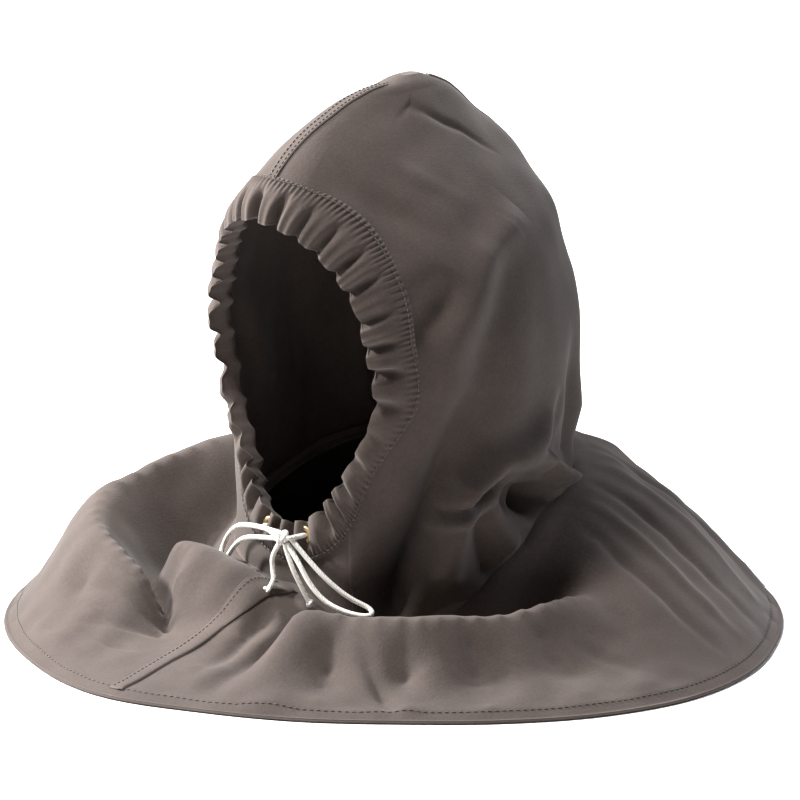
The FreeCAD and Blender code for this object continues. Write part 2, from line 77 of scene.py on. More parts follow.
def pick(piece: bpy.types.Object) -> None:
    """Make one piece active, and the only one selected."""
    deselect()
    bpy.context.view_layer.objects.active = piece
    piece.select_set(True)


def bell(value: np.ndarray, middle: float, spread: float) -> np.ndarray:
    """A smooth bump of height 1 at middle."""
    return np.exp(-(((value - middle) / spread) ** 2))


def ease(value: np.ndarray, low: float, high: float) -> np.ndarray:
    """A smooth step from 0 at low to 1 at high."""
    share = np.clip((value - low) / (high - low), 0.0, 1.0)
    return share * share * (3.0 - 2.0 * share)


def along(table: Sequence[tuple[float, ...]], key: np.ndarray, column: int) -> np.ndarray:
    """One column of a table of levels, run smoothly between its rows.

    Args:
        table: rows whose first number is the key, rising.
        key: where to read the table.
        column: which number of the row to read.

    Returns:
        The value at each key, by a cubic with slopes taken from the neighbours.
    """
    keys = np.array([row[0] for row in table])
    values = np.array([row[column] for row in table])
    slopes = np.gradient(values, keys)
    place = np.clip(np.searchsorted(keys, key) - 1, 0, len(keys) - 2)
    width = keys[place + 1] - keys[place]
    share = np.clip((key - keys[place]) / width, 0.0, 1.0)
    start, end = values[place], values[place + 1]
    bend_start, bend_end = slopes[place] * width, slopes[place + 1] * width
    square, cube = share**2, share**3
    return (
        start * (2 * cube - 3 * square + 1)
        + bend_start * (cube - 2 * square + share)
        + end * (3 * square - 2 * cube)
        + bend_end * (cube - square)
    )


class SmoothNoise:
    """Seeded wandering values that repeat after one turn, for folds and pleats."""

    def __init__(self, seed: int, waves: int = 9) -> None:
        """Draw the waves once, so that every run gives the same cloth."""
        chance = np.random.default_rng(seed)
        self.phases = chance.uniform(0.0, 2.0 * math.pi, waves)
        self.sizes = chance.uniform(0.4, 1.0, waves) / np.sqrt(np.arange(1, waves + 1))

    def at(self, turn: np.ndarray, coarse: int = 1) -> np.ndarray:
        """The value at each turn (radians), coarse being the number of swings of the slowest wave."""
        total = np.zeros_like(turn, dtype=float)
        for step, (phase, size) in enumerate(zip(self.phases, self.sizes)):
            total += size * np.sin((coarse + step) * turn + phase)
        return total / np.sum(self.sizes)


# ---------------------------------------------------------------- finishes


class Recipe:
    """A material made node by node, from places on the object to its shader."""

    def __init__(self, name: str) -> None:
        """Start with the shader and the place on the object."""
        self.material = bpy.data.materials.new(name)
        self.material.use_nodes = True
        self.tree = self.material.node_tree
        self.shader = self.tree.nodes["Principled BSDF"]
        self.place = self.add("ShaderNodeTexCoord", {}).outputs["Object"]

    def give(self, node: bpy.types.Node, inputs: dict[str | int, object]) -> None:
        """Give a node's inputs another node's outputs, or values of their own."""
        for name, value in inputs.items():
            if isinstance(value, bpy.types.NodeSocket):
                self.tree.links.new(value, node.inputs[name])
            else:
                node.inputs[name].default_value = value

    def add(self, kind: str, inputs: dict[str | int, object], **settings: str) -> bpy.types.Node:
        """Add a node.

        Args:
            kind: the node's type.
            inputs: what each input is given.
            settings: the node's own settings, which come first because they choose its inputs.

        Returns:
            The new node.
        """
        node = self.tree.nodes.new(kind)
        for name, value in settings.items():
            setattr(node, name, value)
        self.give(node, inputs)
        return node

    def noise(self, place: bpy.types.NodeSocket, scale: float, detail: float,
              roughness: float = 0.5) -> bpy.types.NodeSocket:
        """A cloudy value over the places."""
        values = {"Vector": place, "Scale": scale, "Detail": detail, "Roughness": roughness}
        return self.add("ShaderNodeTexNoise", values).outputs["Fac"]

    def turned(self, rotation: Triple, scale: Triple = (1.0, 1.0, 1.0)) -> bpy.types.NodeSocket:
        """The place on the object, turned and stretched."""
        values = {"Vector": self.place, "Rotation": rotation, "Scale": scale}
        return self.add("ShaderNodeMapping", values).outputs["Vector"]

    def ramp(self, value: bpy.types.NodeSocket, *stops: tuple[float, Triple]) -> bpy.types.NodeSocket:
        """A colour that runs between two tones, each given with the value where it is reached."""
        node = self.add("ShaderNodeValToRGB", {"Fac": value})
        for element, (position, tone) in zip(node.color_ramp.elements, stops):
            element.position = position
            element.color = (*tone, 1.0)
        return node.outputs["Color"]

    def bump(self, height: bpy.types.NodeSocket, strength: float, depth: float) -> None:
        """Raise the surface by a value, depth being in metres."""
        values = {"Height": height, "Strength": strength, "Distance": depth}
        self.give(self.shader, {"Normal": self.add("ShaderNodeBump", values).outputs["Normal"]})


@dataclass(frozen=True)
class ClothFinish:
    """Taupe cotton: an uneven, drawn-out grain, mottled colour, a soft sheen, and a lighter tone on edges and
    fold crests that is a painted highlight as well as rubbed wear.
    """

    name: str = "taupe_twill"
    light: Triple = (0.072, 0.0545, 0.0475)
    dark: Triple = (0.052, 0.0392, 0.0342)
    # the lighter tone for edges and fold crests: a painted highlight, and rubbed wear
    rubbed_and_highlit: Triple = (0.13, 0.107, 0.098)
    roughness: float = 0.86
    sheen: float = 0.1
    sheen_spread: float = 0.5
    gloss: float = 0.25
    mottle_scale: float = 22.0
    mottle_roughness: float = 0.62
    mottle_span: tuple[float, float] = (0.34, 0.68)
    speckle_scale: float = 700.0
    speckle_share: float = 0.3
    # the pointiness span and strength of that painted highlight and rubbed wear
    rub_and_highlight_edges: tuple[float, float] = (0.52, 0.62)
    rub_and_highlight_share: float = 0.55
    thread_scale: float = 900.0
    thread_turn: Triple = (0.4, 0.6, 0.78)
    thread_stretch: Triple = (1.0, 0.22, 1.0)
    weave_strength: float = 0.35
    weave_depth: float = 0.00035

    def build(self) -> bpy.types.Material:
        """Make the material's nodes.

        Returns:
            The finished material.
        """
        recipe = Recipe(self.name)
        mottle = recipe.noise(recipe.place, self.mottle_scale, 6.0, self.mottle_roughness)
        speckle = recipe.noise(recipe.place, self.speckle_scale, 3.0)
        colours = recipe.ramp(mottle, (self.mottle_span[0], self.dark), (self.mottle_span[1], self.light))
        grain = recipe.add(
            "ShaderNodeMix", {"Factor": self.speckle_share, "A": colours, "B": speckle},
            data_type="RGBA", blend_type="OVERLAY",
        )
        # edges and fold crests, found by pointiness, are lightened: a painted highlight along with rubbed
        # wear
        edges = recipe.add("ShaderNodeNewGeometry", {})
        rub_and_highlight_mask = recipe.add("ShaderNodeMapRange", {
            "Value": edges.outputs["Pointiness"],
            "From Min": self.rub_and_highlight_edges[0],
            "From Max": self.rub_and_highlight_edges[1],
            "To Max": self.rub_and_highlight_share,
        })
        rubbed_and_highlit_colour = recipe.add("ShaderNodeMix", {
            "Factor": rub_and_highlight_mask.outputs["Result"], "A": grain.outputs["Result"], "B": (*self.rubbed_and_highlit, 1.0),
        }, data_type="RGBA")
        twill = recipe.noise(recipe.turned(self.thread_turn, self.thread_stretch), self.thread_scale, 2.0)
        relief = recipe.add("ShaderNodeMath", {0: twill, 1: speckle}, operation="ADD")
        recipe.bump(relief.outputs["Value"], self.weave_strength, self.weave_depth)
        recipe.give(recipe.shader, {
            "Base Color": rubbed_and_highlit_colour.outputs["Result"],
            "Roughness": self.roughness,
            "Sheen Weight": self.sheen,
            "Sheen Roughness": self.sheen_spread,
            "Specular IOR Level": self.gloss,
        })
        return recipe.material


@dataclass(frozen=True)
class YarnFinish:
    """Twisted or braided yarn: sewing thread and cotton cord, with painted shade in the grooves between its
    strands.
    """

    name: str
    colour: Triple
    # the darker tone in the grooves between strands is painted shade
    groove_shade: Triple
    twist_scale: float
    twist_turn: Triple = (0.6, 0.5, 0.3)
    twist_wander: float = 3.0
    groove_shade_end: float = 0.45
    ridge_strength: float = 0.5
    ridge_depth: float = 0.0003
    roughness: float = 0.8
    sheen: float = 0.3

    def build(self) -> bpy.types.Material:
        """Make the material's nodes.

        Returns:
            The finished material.
        """
        recipe = Recipe(self.name)
        strands = recipe.add("ShaderNodeTexWave", {
            "Vector": recipe.turned(self.twist_turn),
            "Scale": self.twist_scale,
            "Distortion": self.twist_wander,
            "Detail": 2.0,
        }).outputs["Fac"]
        recipe.bump(strands, self.ridge_strength, self.ridge_depth)
        # the low grooves of the twist get the painted shade
        recipe.give(recipe.shader, {
            "Base Color": recipe.ramp(strands, (0.0, self.groove_shade), (self.groove_shade_end, self.colour)),
            "Roughness": self.roughness,
            "Sheen Weight": self.sheen,
        })
        return recipe.material


@dataclass(frozen=True)
class BrassFinish:
    """Dull brass, stained in patches that are rougher than the rest."""

    name: str = "dull_brass"
    bright: Triple = (0.72, 0.53, 0.28)
    dull: Triple = (0.36, 0.25, 0.13)
    stain_scale: float = 420.0
    stain_span: tuple[float, float] = (0.38, 0.6)
    roughness: tuple[float, float] = (0.55, 0.3)

    def build(self) -> bpy.types.Material:
        """Make the material's nodes.

        Returns:
            The finished material.
        """
        recipe = Recipe(self.name)
        stain = recipe.noise(recipe.place, self.stain_scale, 5.0)
        colours = recipe.ramp(stain, (self.stain_span[0], self.dull), (self.stain_span[1], self.bright))
        gloss = recipe.add("ShaderNodeMapRange", {
            "Value": stain, "To Min": self.roughness[0], "To Max": self.roughness[1],
        })
        recipe.give(recipe.shader, {
            "Metallic": 1.0,
            "Base Color": colours,
            "Roughness": gloss.outputs["Result"],
        })
        return recipe.material


# ---------------------------------------------------------------- the hood's form


@dataclass
class HoodForm:
    """The worn shape of the hood: level sections, each an oval with its own front and back."""

    # height, half width, middle, reach to the front, reach to the back, squareness of the front
    levels: tuple[tuple[float, ...], ...] = (
        (0.0, 95.0, 11.0, 101.0, 101.0, 2.4),
        (70.0, 95.0, 11.0, 101.0, 101.0, 2.4),
        (115.0, 95.0, 11.0, 101.0, 101.0, 2.35),
        (157.0, 94.5, 5.5, 109.5, 110.0, 2.2),
        (200.0, 93.0, 0.0, 118.0, 117.0, 2.1),
        (225.0, 87.0, -1.0, 118.0, 114.5, 2.0),
        (250.0, 76.0, -3.0, 115.0, 110.5, 2.0),
        (270.0, 62.0, -5.0, 109.0, 104.0, 2.0),
        (290.0, 44.5, -7.0, 97.0, 91.0, 2.0),
        (307.0, 30.0, -3.0, 82.0, 67.0, 2.0),
        (320.0, 19.0, 4.0, 62.0, 43.0, 2.0),
        (328.0, 12.5, 9.0, 46.0, 28.0, 2.0),
        (333.0, 8.0, 12.0, 28.0, 15.0, 2.0),
        (335.5, 3.0, 14.0, 9.0, 5.0, 2.0),
    )
    peak_height: float = 336.0
    neck_front: float = 42.0
    neck_back: float = 106.0
    slope_step: float = 0.5

    def neck_height(self, bearing: np.ndarray) -> np.ndarray:
        """Height of the neck seam at a bearing in radians."""
        return self.neck_front + (self.neck_back - self.neck_front) * (1 - np.cos(bearing)) / 2

    def point(self, bearing: np.ndarray, height: np.ndarray) -> np.ndarray:
        """Points of the hood's outside.

        Args:
            bearing: radians, 0 at the front.
            height: millimetres over the table.

        Returns:
            An array whose last axis is x, y, z.
        """
        bearing, height = np.broadcast_arrays(bearing, height)
        half = along(self.levels, height, 1)
        middle = along(self.levels, height, 2)
        front = np.cos(bearing) > 0
        reach = np.where(front, along(self.levels, height, 3), along(self.levels, height, 4))
        square = np.where(front, along(self.levels, height, 5), 2.0)
        side, ahead = np.sin(bearing), np.cos(bearing)
        x = half * np.sign(side) * np.abs(side) ** (2 / square)
        y = middle - reach * np.sign(ahead) * np.abs(ahead) ** (2 / square)
        return np.stack([x, y, height], axis=-1)

    def front_y(self, x: np.ndarray, z: np.ndarray) -> np.ndarray:
        """The y of the hood's front where x and z are given."""
        half = along(self.levels, z, 1)
        square = along(self.levels, z, 5)
        inside = np.clip(1 - np.abs(x / half) ** square, 0.0, 1.0)
        return along(self.levels, z, 2) - along(self.levels, z, 3) * inside ** (1 / square)

    def front_point(self, x: np.ndarray, z: np.ndarray, proud: np.ndarray) -> np.ndarray:
        """Points of the front, lifted off the cloth along its normal by proud."""
        step = self.slope_step
        slope_x = (self.front_y(x + step, z) - self.front_y(x - step, z)) / (2 * step)
        slope_z = (self.front_y(x, z + step) - self.front_y(x, z - step)) / (2 * step)
        normal = np.stack([slope_x, -np.ones_like(slope_x), slope_z], axis=-1)
        normal /= np.linalg.norm(normal, axis=-1, keepdims=True)
        base = np.stack([x, self.front_y(x, z), z], axis=-1)
        return base + normal * np.asarray(proud)[..., None]


def signed_degrees(bearing: np.ndarray) -> np.ndarray:
    """A bearing in radians as degrees from -180 to 180."""
    return np.degrees((bearing + math.pi) % TURN - math.pi)


@dataclass
class CapeForm:
    """The cape's lie on the table, as heights along its ridges and valleys."""

    hood: HoodForm
    hem_radius: float = 233.0
    hem_height: float = 1.6
    # bearing in degrees and how far the hem swings out or in there
    hem_swing: tuple[tuple[float, float], ...] = (
        (-180, 0), (-90, 2), (-50, 2), (-24, 3), (0, 6), (14, -4), (30, -9), (46, -11), (60, -4),
        (75, 6), (90, 12), (105, 9), (120, 2), (150, 0), (180, 0),
    )
    # bearing in degrees, distance from the axis, height: the crests of the folds
    crests: tuple[tuple[Triple, ...], ...] = (
        # the long roll in front of the near shoulder
        ((22, 205, 14), (21, 188, 25), (22, 170, 36), (24, 150, 44), (37, 156, 46), (50, 163, 46),
         (62, 163, 46), (78, 160, 46), (90, 155, 44), (95, 176, 31), (97, 205, 18)),
        # the far shoulder's mound
        ((-12, 156, 22), (-18, 158, 34), (-25, 162, 47), (-35, 171, 57), (-46, 180, 64),
         (-58, 181, 68), (-74, 168, 76), (-90, 158, 82), (-108, 150, 83)),
        # the flap that stands up beside the chin
        ((-2, 116, 46), (-9, 122, 52), (-18, 130, 57), (-28, 135, 58), (-35, 135, 50)),
        ((-10, 146, 34), (-19, 145, 45)),
    )
    # the valleys between them
    valleys: tuple[tuple[Triple, ...], ...] = (
        ((14, 205, 6), (15, 185, 9), (16, 165, 12), (18, 140, 14), (22, 120, 12)),
        ((30, 112, 4), (42, 114, 3), (54, 118, 4), (66, 124, 8), (78, 128, 14), (90, 130, 24)),
        ((-42, 126, 17), (-52, 132, 13), (-64, 134, 17), (-78, 128, 34), (-92, 122, 56)),
        ((-40, 148, 27), (-29, 151, 25), (-20, 154, 22), (-12, 160, 17)),
        ((0, 140, 31), (0, 170, 20), (0, 200, 10)),
    )
    # plain slopes, where the cape only hangs
    slopes: tuple[Triple, ...] = (
        (108, 135, 66), (108, 160, 52), (110, 190, 34), (112, 215, 17),
        (128, 130, 86), (128, 160, 67), (130, 190, 44), (130, 215, 21),
        (145, 133, 94), (145, 158, 77), (145, 189, 51), (145, 215, 25),
        (162, 133, 97), (162, 155, 82), (162, 189, 53), (162, 215, 25),
        (180, 135, 98), (180, 160, 80), (180, 190, 52), (180, 215, 24),
        (-158, 130, 97), (-158, 160, 80), (-158, 190, 51), (-158, 215, 24),
        (-135, 130, 90), (-135, 160, 78), (-135, 190, 50), (-135, 215, 24),
        (-112, 185, 60), (-112, 210, 31),
        (-90, 190, 56), (-90, 212, 29), (-70, 195, 52), (-70, 215, 27), (-50, 205, 38), (-50, 220, 17),
        (-32, 190, 33), (-32, 215, 14), (-14, 190, 17), (-14, 215, 8),
        (7, 150, 26), (7, 190, 13), (9, 118, 34), (26, 215, 9),
        (32, 166, 28), (32, 176, 14), (32, 190, 10), (32, 208, 8), (47, 172, 28), (47, 182, 13),
        (47, 195, 10), (47, 212, 8), (60, 172, 29), (60, 184, 15), (60, 200, 10), (60, 217, 8),
        (75, 172, 30), (75, 186, 18), (75, 202, 13), (75, 220, 9),
        (86, 176, 28), (86, 205, 16), (86, 225, 9),
    )
    # bearing in degrees and spread in degrees of the dips in the neck's edge, and their depths
    neck_dips: tuple[Triple, ...] = ((36.0, 24.0, 30.0), (70.0, 22.0, 24.0))
    softness: float = 0.4
    plain_scale: float = 100.0
    hem_spacing: int = 10
    hem_margin: float = 6.0
    hem_lift: float = 3.0
    weights: np.ndarray = field(init=False)
    knots: np.ndarray = field(init=False)

    def __post_init__(self) -> None:
        """Fit one smooth surface through the ridges, the valleys, the neck and the hem."""
        spots = [self.spot(*row) for row in self.slopes]
        for line in (*self.crests, *self.valleys):
            spots += [tuple(place) for place in smooth_line([self.spot(*row) for row in line], steps=3)]
        for degrees in range(-180, 180, self.hem_spacing):
            bearing = math.radians(degrees)
            hem = float(self.hem_at(np.array(bearing)))
            spots.append(self.spot(degrees, hem - self.hem_margin, self.hem_height + self.hem_lift))
            inner = self.neck_point(np.array(bearing))
            spots.append(tuple(float(value) for value in inner))
        spots_array = np.array(spots)
        self.knots = spots_array[:, :2]
        count = len(spots_array)
        gaps = np.linalg.norm(self.knots[:, None] - self.knots[None], axis=-1)
        system = np.zeros((count + 3, count + 3))
        system[:count, :count] = self.kernel(gaps) + np.eye(count) * self.softness
        system[:count, count:] = np.column_stack([np.ones(count), self.knots / self.plain_scale])
        system[count:, :count] = system[:count, count:].T
        self.weights = np.linalg.solve(system, np.append(spots_array[:, 2], np.zeros(3)))

    def hem_at(self, bearing: np.ndarray) -> np.ndarray:
        """Distance of the hem from the axis."""
        return self.hem_radius + along(self.hem_swing, signed_degrees(bearing), 1)

    def spot(self, degrees: float, distance: float, height: float) -> Triple:
        """A place given by bearing and distance, as x, y, height."""
        bearing = math.radians(degrees)
        return (distance * math.sin(bearing), -distance * math.cos(bearing), height)

    def kernel(self, gap: np.ndarray) -> np.ndarray:
        """How much a spot's height counts at a gap from it, falling in a straight line."""
        return -gap

    def neck_point(self, bearing: np.ndarray) -> np.ndarray:
        """Where the cape leaves the hood."""
        degrees = signed_degrees(bearing)
        dip = sum(depth * bell(degrees, middle, spread) for middle, spread, depth in self.neck_dips)
        return self.hood.point(bearing, self.hood.neck_height(bearing) - dip)

    def height(self, x: np.ndarray, y: np.ndarray) -> np.ndarray:
        """Height of the cape over a place on the table."""
        places = np.stack([x.ravel(), y.ravel()], axis=-1)
        gaps = np.linalg.norm(places[:, None] - self.knots[None], axis=-1)
        count = len(self.knots)
        plain = np.column_stack([np.ones(len(places)), places / self.plain_scale])
        result = self.kernel(gaps) @ self.weights[:count] + plain @ self.weights[count:]
        return result.reshape(x.shape)

    def point(self, bearing: np.ndarray, share: np.ndarray) -> np.ndarray:
        """Points of the cape, share running from 0 at the neck to 1 at the hem."""
        bearing, share = np.broadcast_arrays(bearing, share)
        start = self.neck_point(bearing)
        end_x = self.hem_at(bearing) * np.sin(bearing)
        end_y = -self.hem_at(bearing) * np.cos(bearing)
        x = start[..., 0] + (end_x - start[..., 0]) * share
        y = start[..., 1] + (end_y - start[..., 1]) * share
        drape = self.height(x, y)
        near_neck = ease(share, 0.0, 0.1)
        z = start[..., 2] * (1 - near_neck) + drape * near_neck
        near_hem = ease(share, 0.93, 1.0)
        z = z * (1 - near_hem) + self.hem_height * near_hem
        return np.stack([x, y, np.maximum(z, self.hem_height)], axis=-1)


# ---------------------------------------------------------------- meshes from grids


def grid_object(name: str, places: np.ndarray) -> bpy.types.Object:
    """A sheet of faces through a grid of places.

    Args:
        name: the piece's name.
        places: rows by columns by x, y, z in millimetres.

    Returns:
        The new object, its UV map following rows and columns.
    """
    rows, columns = places.shape[:2]
    deselect()
    bpy.ops.mesh.primitive_grid_add(
        x_subdivisions=columns - 1, y_subdivisions=rows - 1, size=1.0, calc_uvs=True
    )
    piece = bpy.context.object
    piece.name = name
    mesh = piece.data
    mesh.name = name
    mesh.vertices.foreach_set("co", (places * MM).astype(np.float32).ravel())
    mesh.update()
    return piece


SHARP_ANGLE = 50


def drop_faces(piece: bpy.types.Object, unwanted: Callable[[np.ndarray], np.ndarray]) -> None:
    """Delete the faces whose middle the test names."""
    mesh = piece.data
    middles = np.empty(len(mesh.polygons) * 3, dtype=np.float32)
    mesh.polygons.foreach_get("center", middles)
    marked = unwanted(middles.reshape(-1, 3) / MM)
    pick(piece)
    bpy.context.tool_settings.mesh_select_mode = (False, False, True)
    mesh.vertices.foreach_set("select", np.zeros(len(mesh.vertices), dtype=bool))
    mesh.edges.foreach_set("select", np.zeros(len(mesh.edges), dtype=bool))
    mesh.polygons.foreach_set("select", marked.astype(bool))
    bpy.ops.object.mode_set(mode="EDIT")
    bpy.ops.mesh.delete(type="FACE")
    bpy.ops.object.mode_set(mode="OBJECT")


def thicken(piece: bpy.types.Object, thickness: float) -> None:
    """Give a sheet its cloth thickness on its inner side, and smooth shading."""
    pick(piece)
    wall = piece.modifiers.new("cloth", "SOLIDIFY")
    wall.thickness = thickness * MM
    wall.offset = -1.0
    bpy.ops.object.modifier_apply(modifier=wall.name)
    bpy.ops.object.shade_smooth_by_angle(angle=math.radians(SHARP_ANGLE))


def ring_faces(base: int, rings: int, spokes: int, closed: bool = False) -> list[tuple[int, ...]]:
    """Faces round a row of rings of places.

    Args:
        base: number of the first place.
        rings: how many rings.
        spokes: places in each ring.
        closed: whether the last ring joins the first. Both ends are capped where it doesn't.

    Returns:
        Each face's corners.
    """
    faces: list[tuple[int, ...]] = []
    for ring in range(rings if closed else rings - 1):
        low = base + ring * spokes
        high = base + (ring + 1) % rings * spokes
        for spoke in range(spokes):
            after = (spoke + 1) % spokes
            faces.append((low + spoke, low + after, high + after, high + spoke))
    if not closed:
        last = base + (rings - 1) * spokes
        faces.append(tuple(base + spoke for spoke in range(spokes - 1, -1, -1)))
        faces.append(tuple(last + spoke for spoke in range(spokes)))
    return faces


def solid_object(name: str, places: Sequence[np.ndarray],
                 faces: Sequence[tuple[int, ...]]) -> bpy.types.Object:
    """A smooth piece whose faces are turned outwards.

    Args:
        name: the piece's name.
        places: blocks of places in millimetres.
        faces: each face's corners, numbered through all the blocks.

    Returns:
        The new object.
    """
    mesh = bpy.data.meshes.new(name)
    mesh.from_pydata((np.concatenate(places) * MM).tolist(), [], faces)
    mesh.update()
    piece = bpy.data.objects.new(name, mesh)
    bpy.context.collection.objects.link(piece)
    pick(piece)
    bpy.ops.object.mode_set(mode="EDIT")
    bpy.ops.mesh.select_all(action="SELECT")
    bpy.ops.mesh.normals_make_consistent(inside=False)
    bpy.ops.object.mode_set(mode="OBJECT")
    bpy.ops.object.shade_smooth()
    return piece


def dress(piece: bpy.types.Object, material: bpy.types.Material) -> None:
    """Put a finish on a piece."""
    piece.data.materials.clear()
    piece.data.materials.append(material)


@dataclass(frozen=True)
class Sewing:
    """Rows of short raised stitches, each thick in the middle and thin where it enters the cloth."""

    length: float = 2.2
    gap: float = 1.1
    radius: float = 0.32
    stations: tuple[float, ...] = (0.0, 0.22, 0.78, 1.0)
    swell: tuple[float, ...] = (0.35, 1.0, 1.0, 0.35)
    spokes: int = 6

    def build(self, name: str, rows: Sequence[np.ndarray], lifts: Sequence[np.ndarray]) -> bpy.types.Object:
        """Stitches along lines.

        Args:
            name: the piece's name.
            rows: lines of closely spaced places in millimetres.
            lifts: the outward direction at each place of each line.

        Returns:
            One object that holds every stitch.
        """
        places: list[np.ndarray] = []
        faces: list[tuple[int, ...]] = []
        for line, outward in zip(rows, lifts):
            steps = np.linalg.norm(np.diff(line, axis=0), axis=1)
            travelled = np.concatenate([[0.0], np.cumsum(steps)])
            start = self.gap
            while start + self.length < travelled[-1]:
                stations = start + self.length * np.array(self.stations)
                centre = np.stack([np.interp(stations, travelled, line[:, k]) for k in range(3)], axis=-1)
                up = np.stack([np.interp(stations, travelled, outward[:, k]) for k in range(3)], axis=-1)
                up /= np.linalg.norm(up, axis=1, keepdims=True)
                ahead = centre[-1] - centre[0]
                ahead /= np.linalg.norm(ahead)
                side = np.cross(ahead, up)
                swell = np.array(self.swell)[:, None] * self.radius
                base = sum(len(block) for block in places)
                ring = []
                for turn in np.linspace(0.0, TURN, self.spokes, endpoint=False):
                    ring.append(centre + swell * (math.cos(turn) * side + math.sin(turn) * up))
                places.append(np.stack(ring, axis=1).reshape(-1, 3))
                faces += ring_faces(base, len(self.stations), self.spokes)
                start += self.length + self.gap
        return solid_object(name, places, faces)


# ---------------------------------------------------------------- garment


def normals_of(places: np.ndarray) -> np.ndarray:
    """Unit normals of a grid of places, pointing out of the garment."""
    down = np.gradient(places, axis=0)
    across = np.gradient(places, axis=1)
    normal = np.cross(across, down)
    length = np.linalg.norm(normal, axis=-1, keepdims=True)
    return -normal / np.maximum(length, 1e-9)


@dataclass
class Fold:
    """A fold along a bent line, deepest where the line says, fading sideways."""

    # two coordinates in millimetres and the depth there, outwards or upwards where positive
    line: tuple[Triple, ...]
    width: float
    sharp: float = 2.0

    def at(self, first: np.ndarray, second: np.ndarray) -> np.ndarray:
        """How far the fold moves the cloth at places given in the line's own coordinates."""
        nearest = np.full(first.shape, 1e9)
        depth = np.zeros(first.shape)
        for (ax, ay, low), (bx, by, high) in zip(self.line, self.line[1:]):
            run_x, run_y = bx - ax, by - ay
            share = ((first - ax) * run_x + (second - ay) * run_y) / (run_x**2 + run_y**2)
            share = np.clip(share, 0.0, 1.0)
            gap = np.hypot(first - ax - share * run_x, second - ay - share * run_y)
            closer = gap < nearest
            nearest = np.where(closer, gap, nearest)
            depth = np.where(closer, low + (high - low) * share, depth)
        return depth * np.exp(-((nearest / self.width) ** self.sharp))


def polar(*places: Triple) -> tuple[Triple, ...]:
    """Turn (bearing in degrees, distance, depth) into (x, y, depth)."""
    return tuple(
        (r * math.sin(math.radians(b)), -r * math.cos(math.radians(b)), d) for b, r, d in places
    )


MM_PER_DEGREE = 1.7


def wrapped(*places: Triple) -> tuple[Triple, ...]:
    """Turn (bearing in degrees, height, depth) into millimetres round the hood, height, depth."""
    return tuple((b * MM_PER_DEGREE, z, d) for b, z, d in places)


HOOD_FOLDS = (
    # the long soft fold down the near side and the valley behind it
    Fold(wrapped((112, 262, 0), (104, 252, 5), (90, 239, 6), (76, 205, 5), (69, 183, 4), (64, 160, 0)), 11.0),
    Fold(wrapped((108, 255, 0), (99, 240, -4), (84, 195, -6), (76, 165, -6), (67, 136, -11), (57, 105, -19),
                 (46, 66, -27), (37, 39, -29)), 12.0),
    Fold(wrapped((52, 192, 0), (58, 205, -4), (67, 222, -5), (76, 236, 0)), 9.0),
    # the bulge over the neck, its leading edge and the hollow under it
    Fold(wrapped((110, 137, 4), (96, 127, 12), (80, 118, 16), (70, 106, 16), (65, 84, 14),
                 (62, 56, 11)), 9.0),
    Fold(wrapped((88, 116, 5), (102, 112, 12), (113, 98, 16), (119, 82, 16), (112, 60, 12)), 6.0),
    Fold(wrapped((90, 92, -14), (98, 87, -36), (104, 77, -38), (100, 58, -24)), 11.0, 3.2),
    Fold(wrapped((80, 84, 4), (86, 68, 9), (94, 50, 9)), 6.0),
    Fold(wrapped((70, 96, 0), (74, 76, -7), (78, 52, -9)), 6.0),
    Fold(wrapped((58, 84, 4), (68, 88, 5), (79, 96, 4)), 3.0),
    Fold(wrapped((62, 92, -5), (72, 97, -7), (82, 105, -5)), 3.2),
    Fold(wrapped((118, 150, 0), (112, 140, -4), (104, 126, -5), (98, 115, 0)), 6.0),
    Fold(wrapped((132, 190, 0), (128, 150, -5), (126, 110, -6), (128, 96, 0)), 11.0),
    Fold(wrapped((140, 220, 0), (136, 180, 4), (137, 130, 5), (138, 108, 0)), 12.0),
    # creases of the crown
    Fold(wrapped((70, 317, 0), (80, 322, -1.6), (98, 314, -2.4), (115, 305, -2.4), (128, 286, 0)), 3.0),
    Fold(wrapped((64, 301, 0), (76, 288, 1.6), (93, 269, 0)), 5.0),
    Fold(wrapped((30, 300, 0), (48, 286, -2.2), (66, 268, -2.5), (80, 250, 0)), 9.0),
    # the far side and the back
    Fold(wrapped((-60, 230, 0), (-70, 190, -5), (-76, 140, -7), (-72, 100, -5)), 12.0),
    Fold(wrapped((-95, 240, 0), (-92, 190, 5), (-98, 130, 6), (-100, 95, 3)), 13.0),
    Fold(wrapped((-120, 200, 0), (-116, 150, -6), (-118, 110, -7)), 11.0),
    Fold(wrapped((-150, 230, 0), (-146, 170, 4), (-148, 118, 4)), 14.0),
    Fold(wrapped((160, 240, 0), (164, 180, -4), (160, 120, -6)), 13.0),
    Fold(wrapped((-168, 210, 0), (-172, 160, -4), (-168, 118, -4)), 10.0),
)
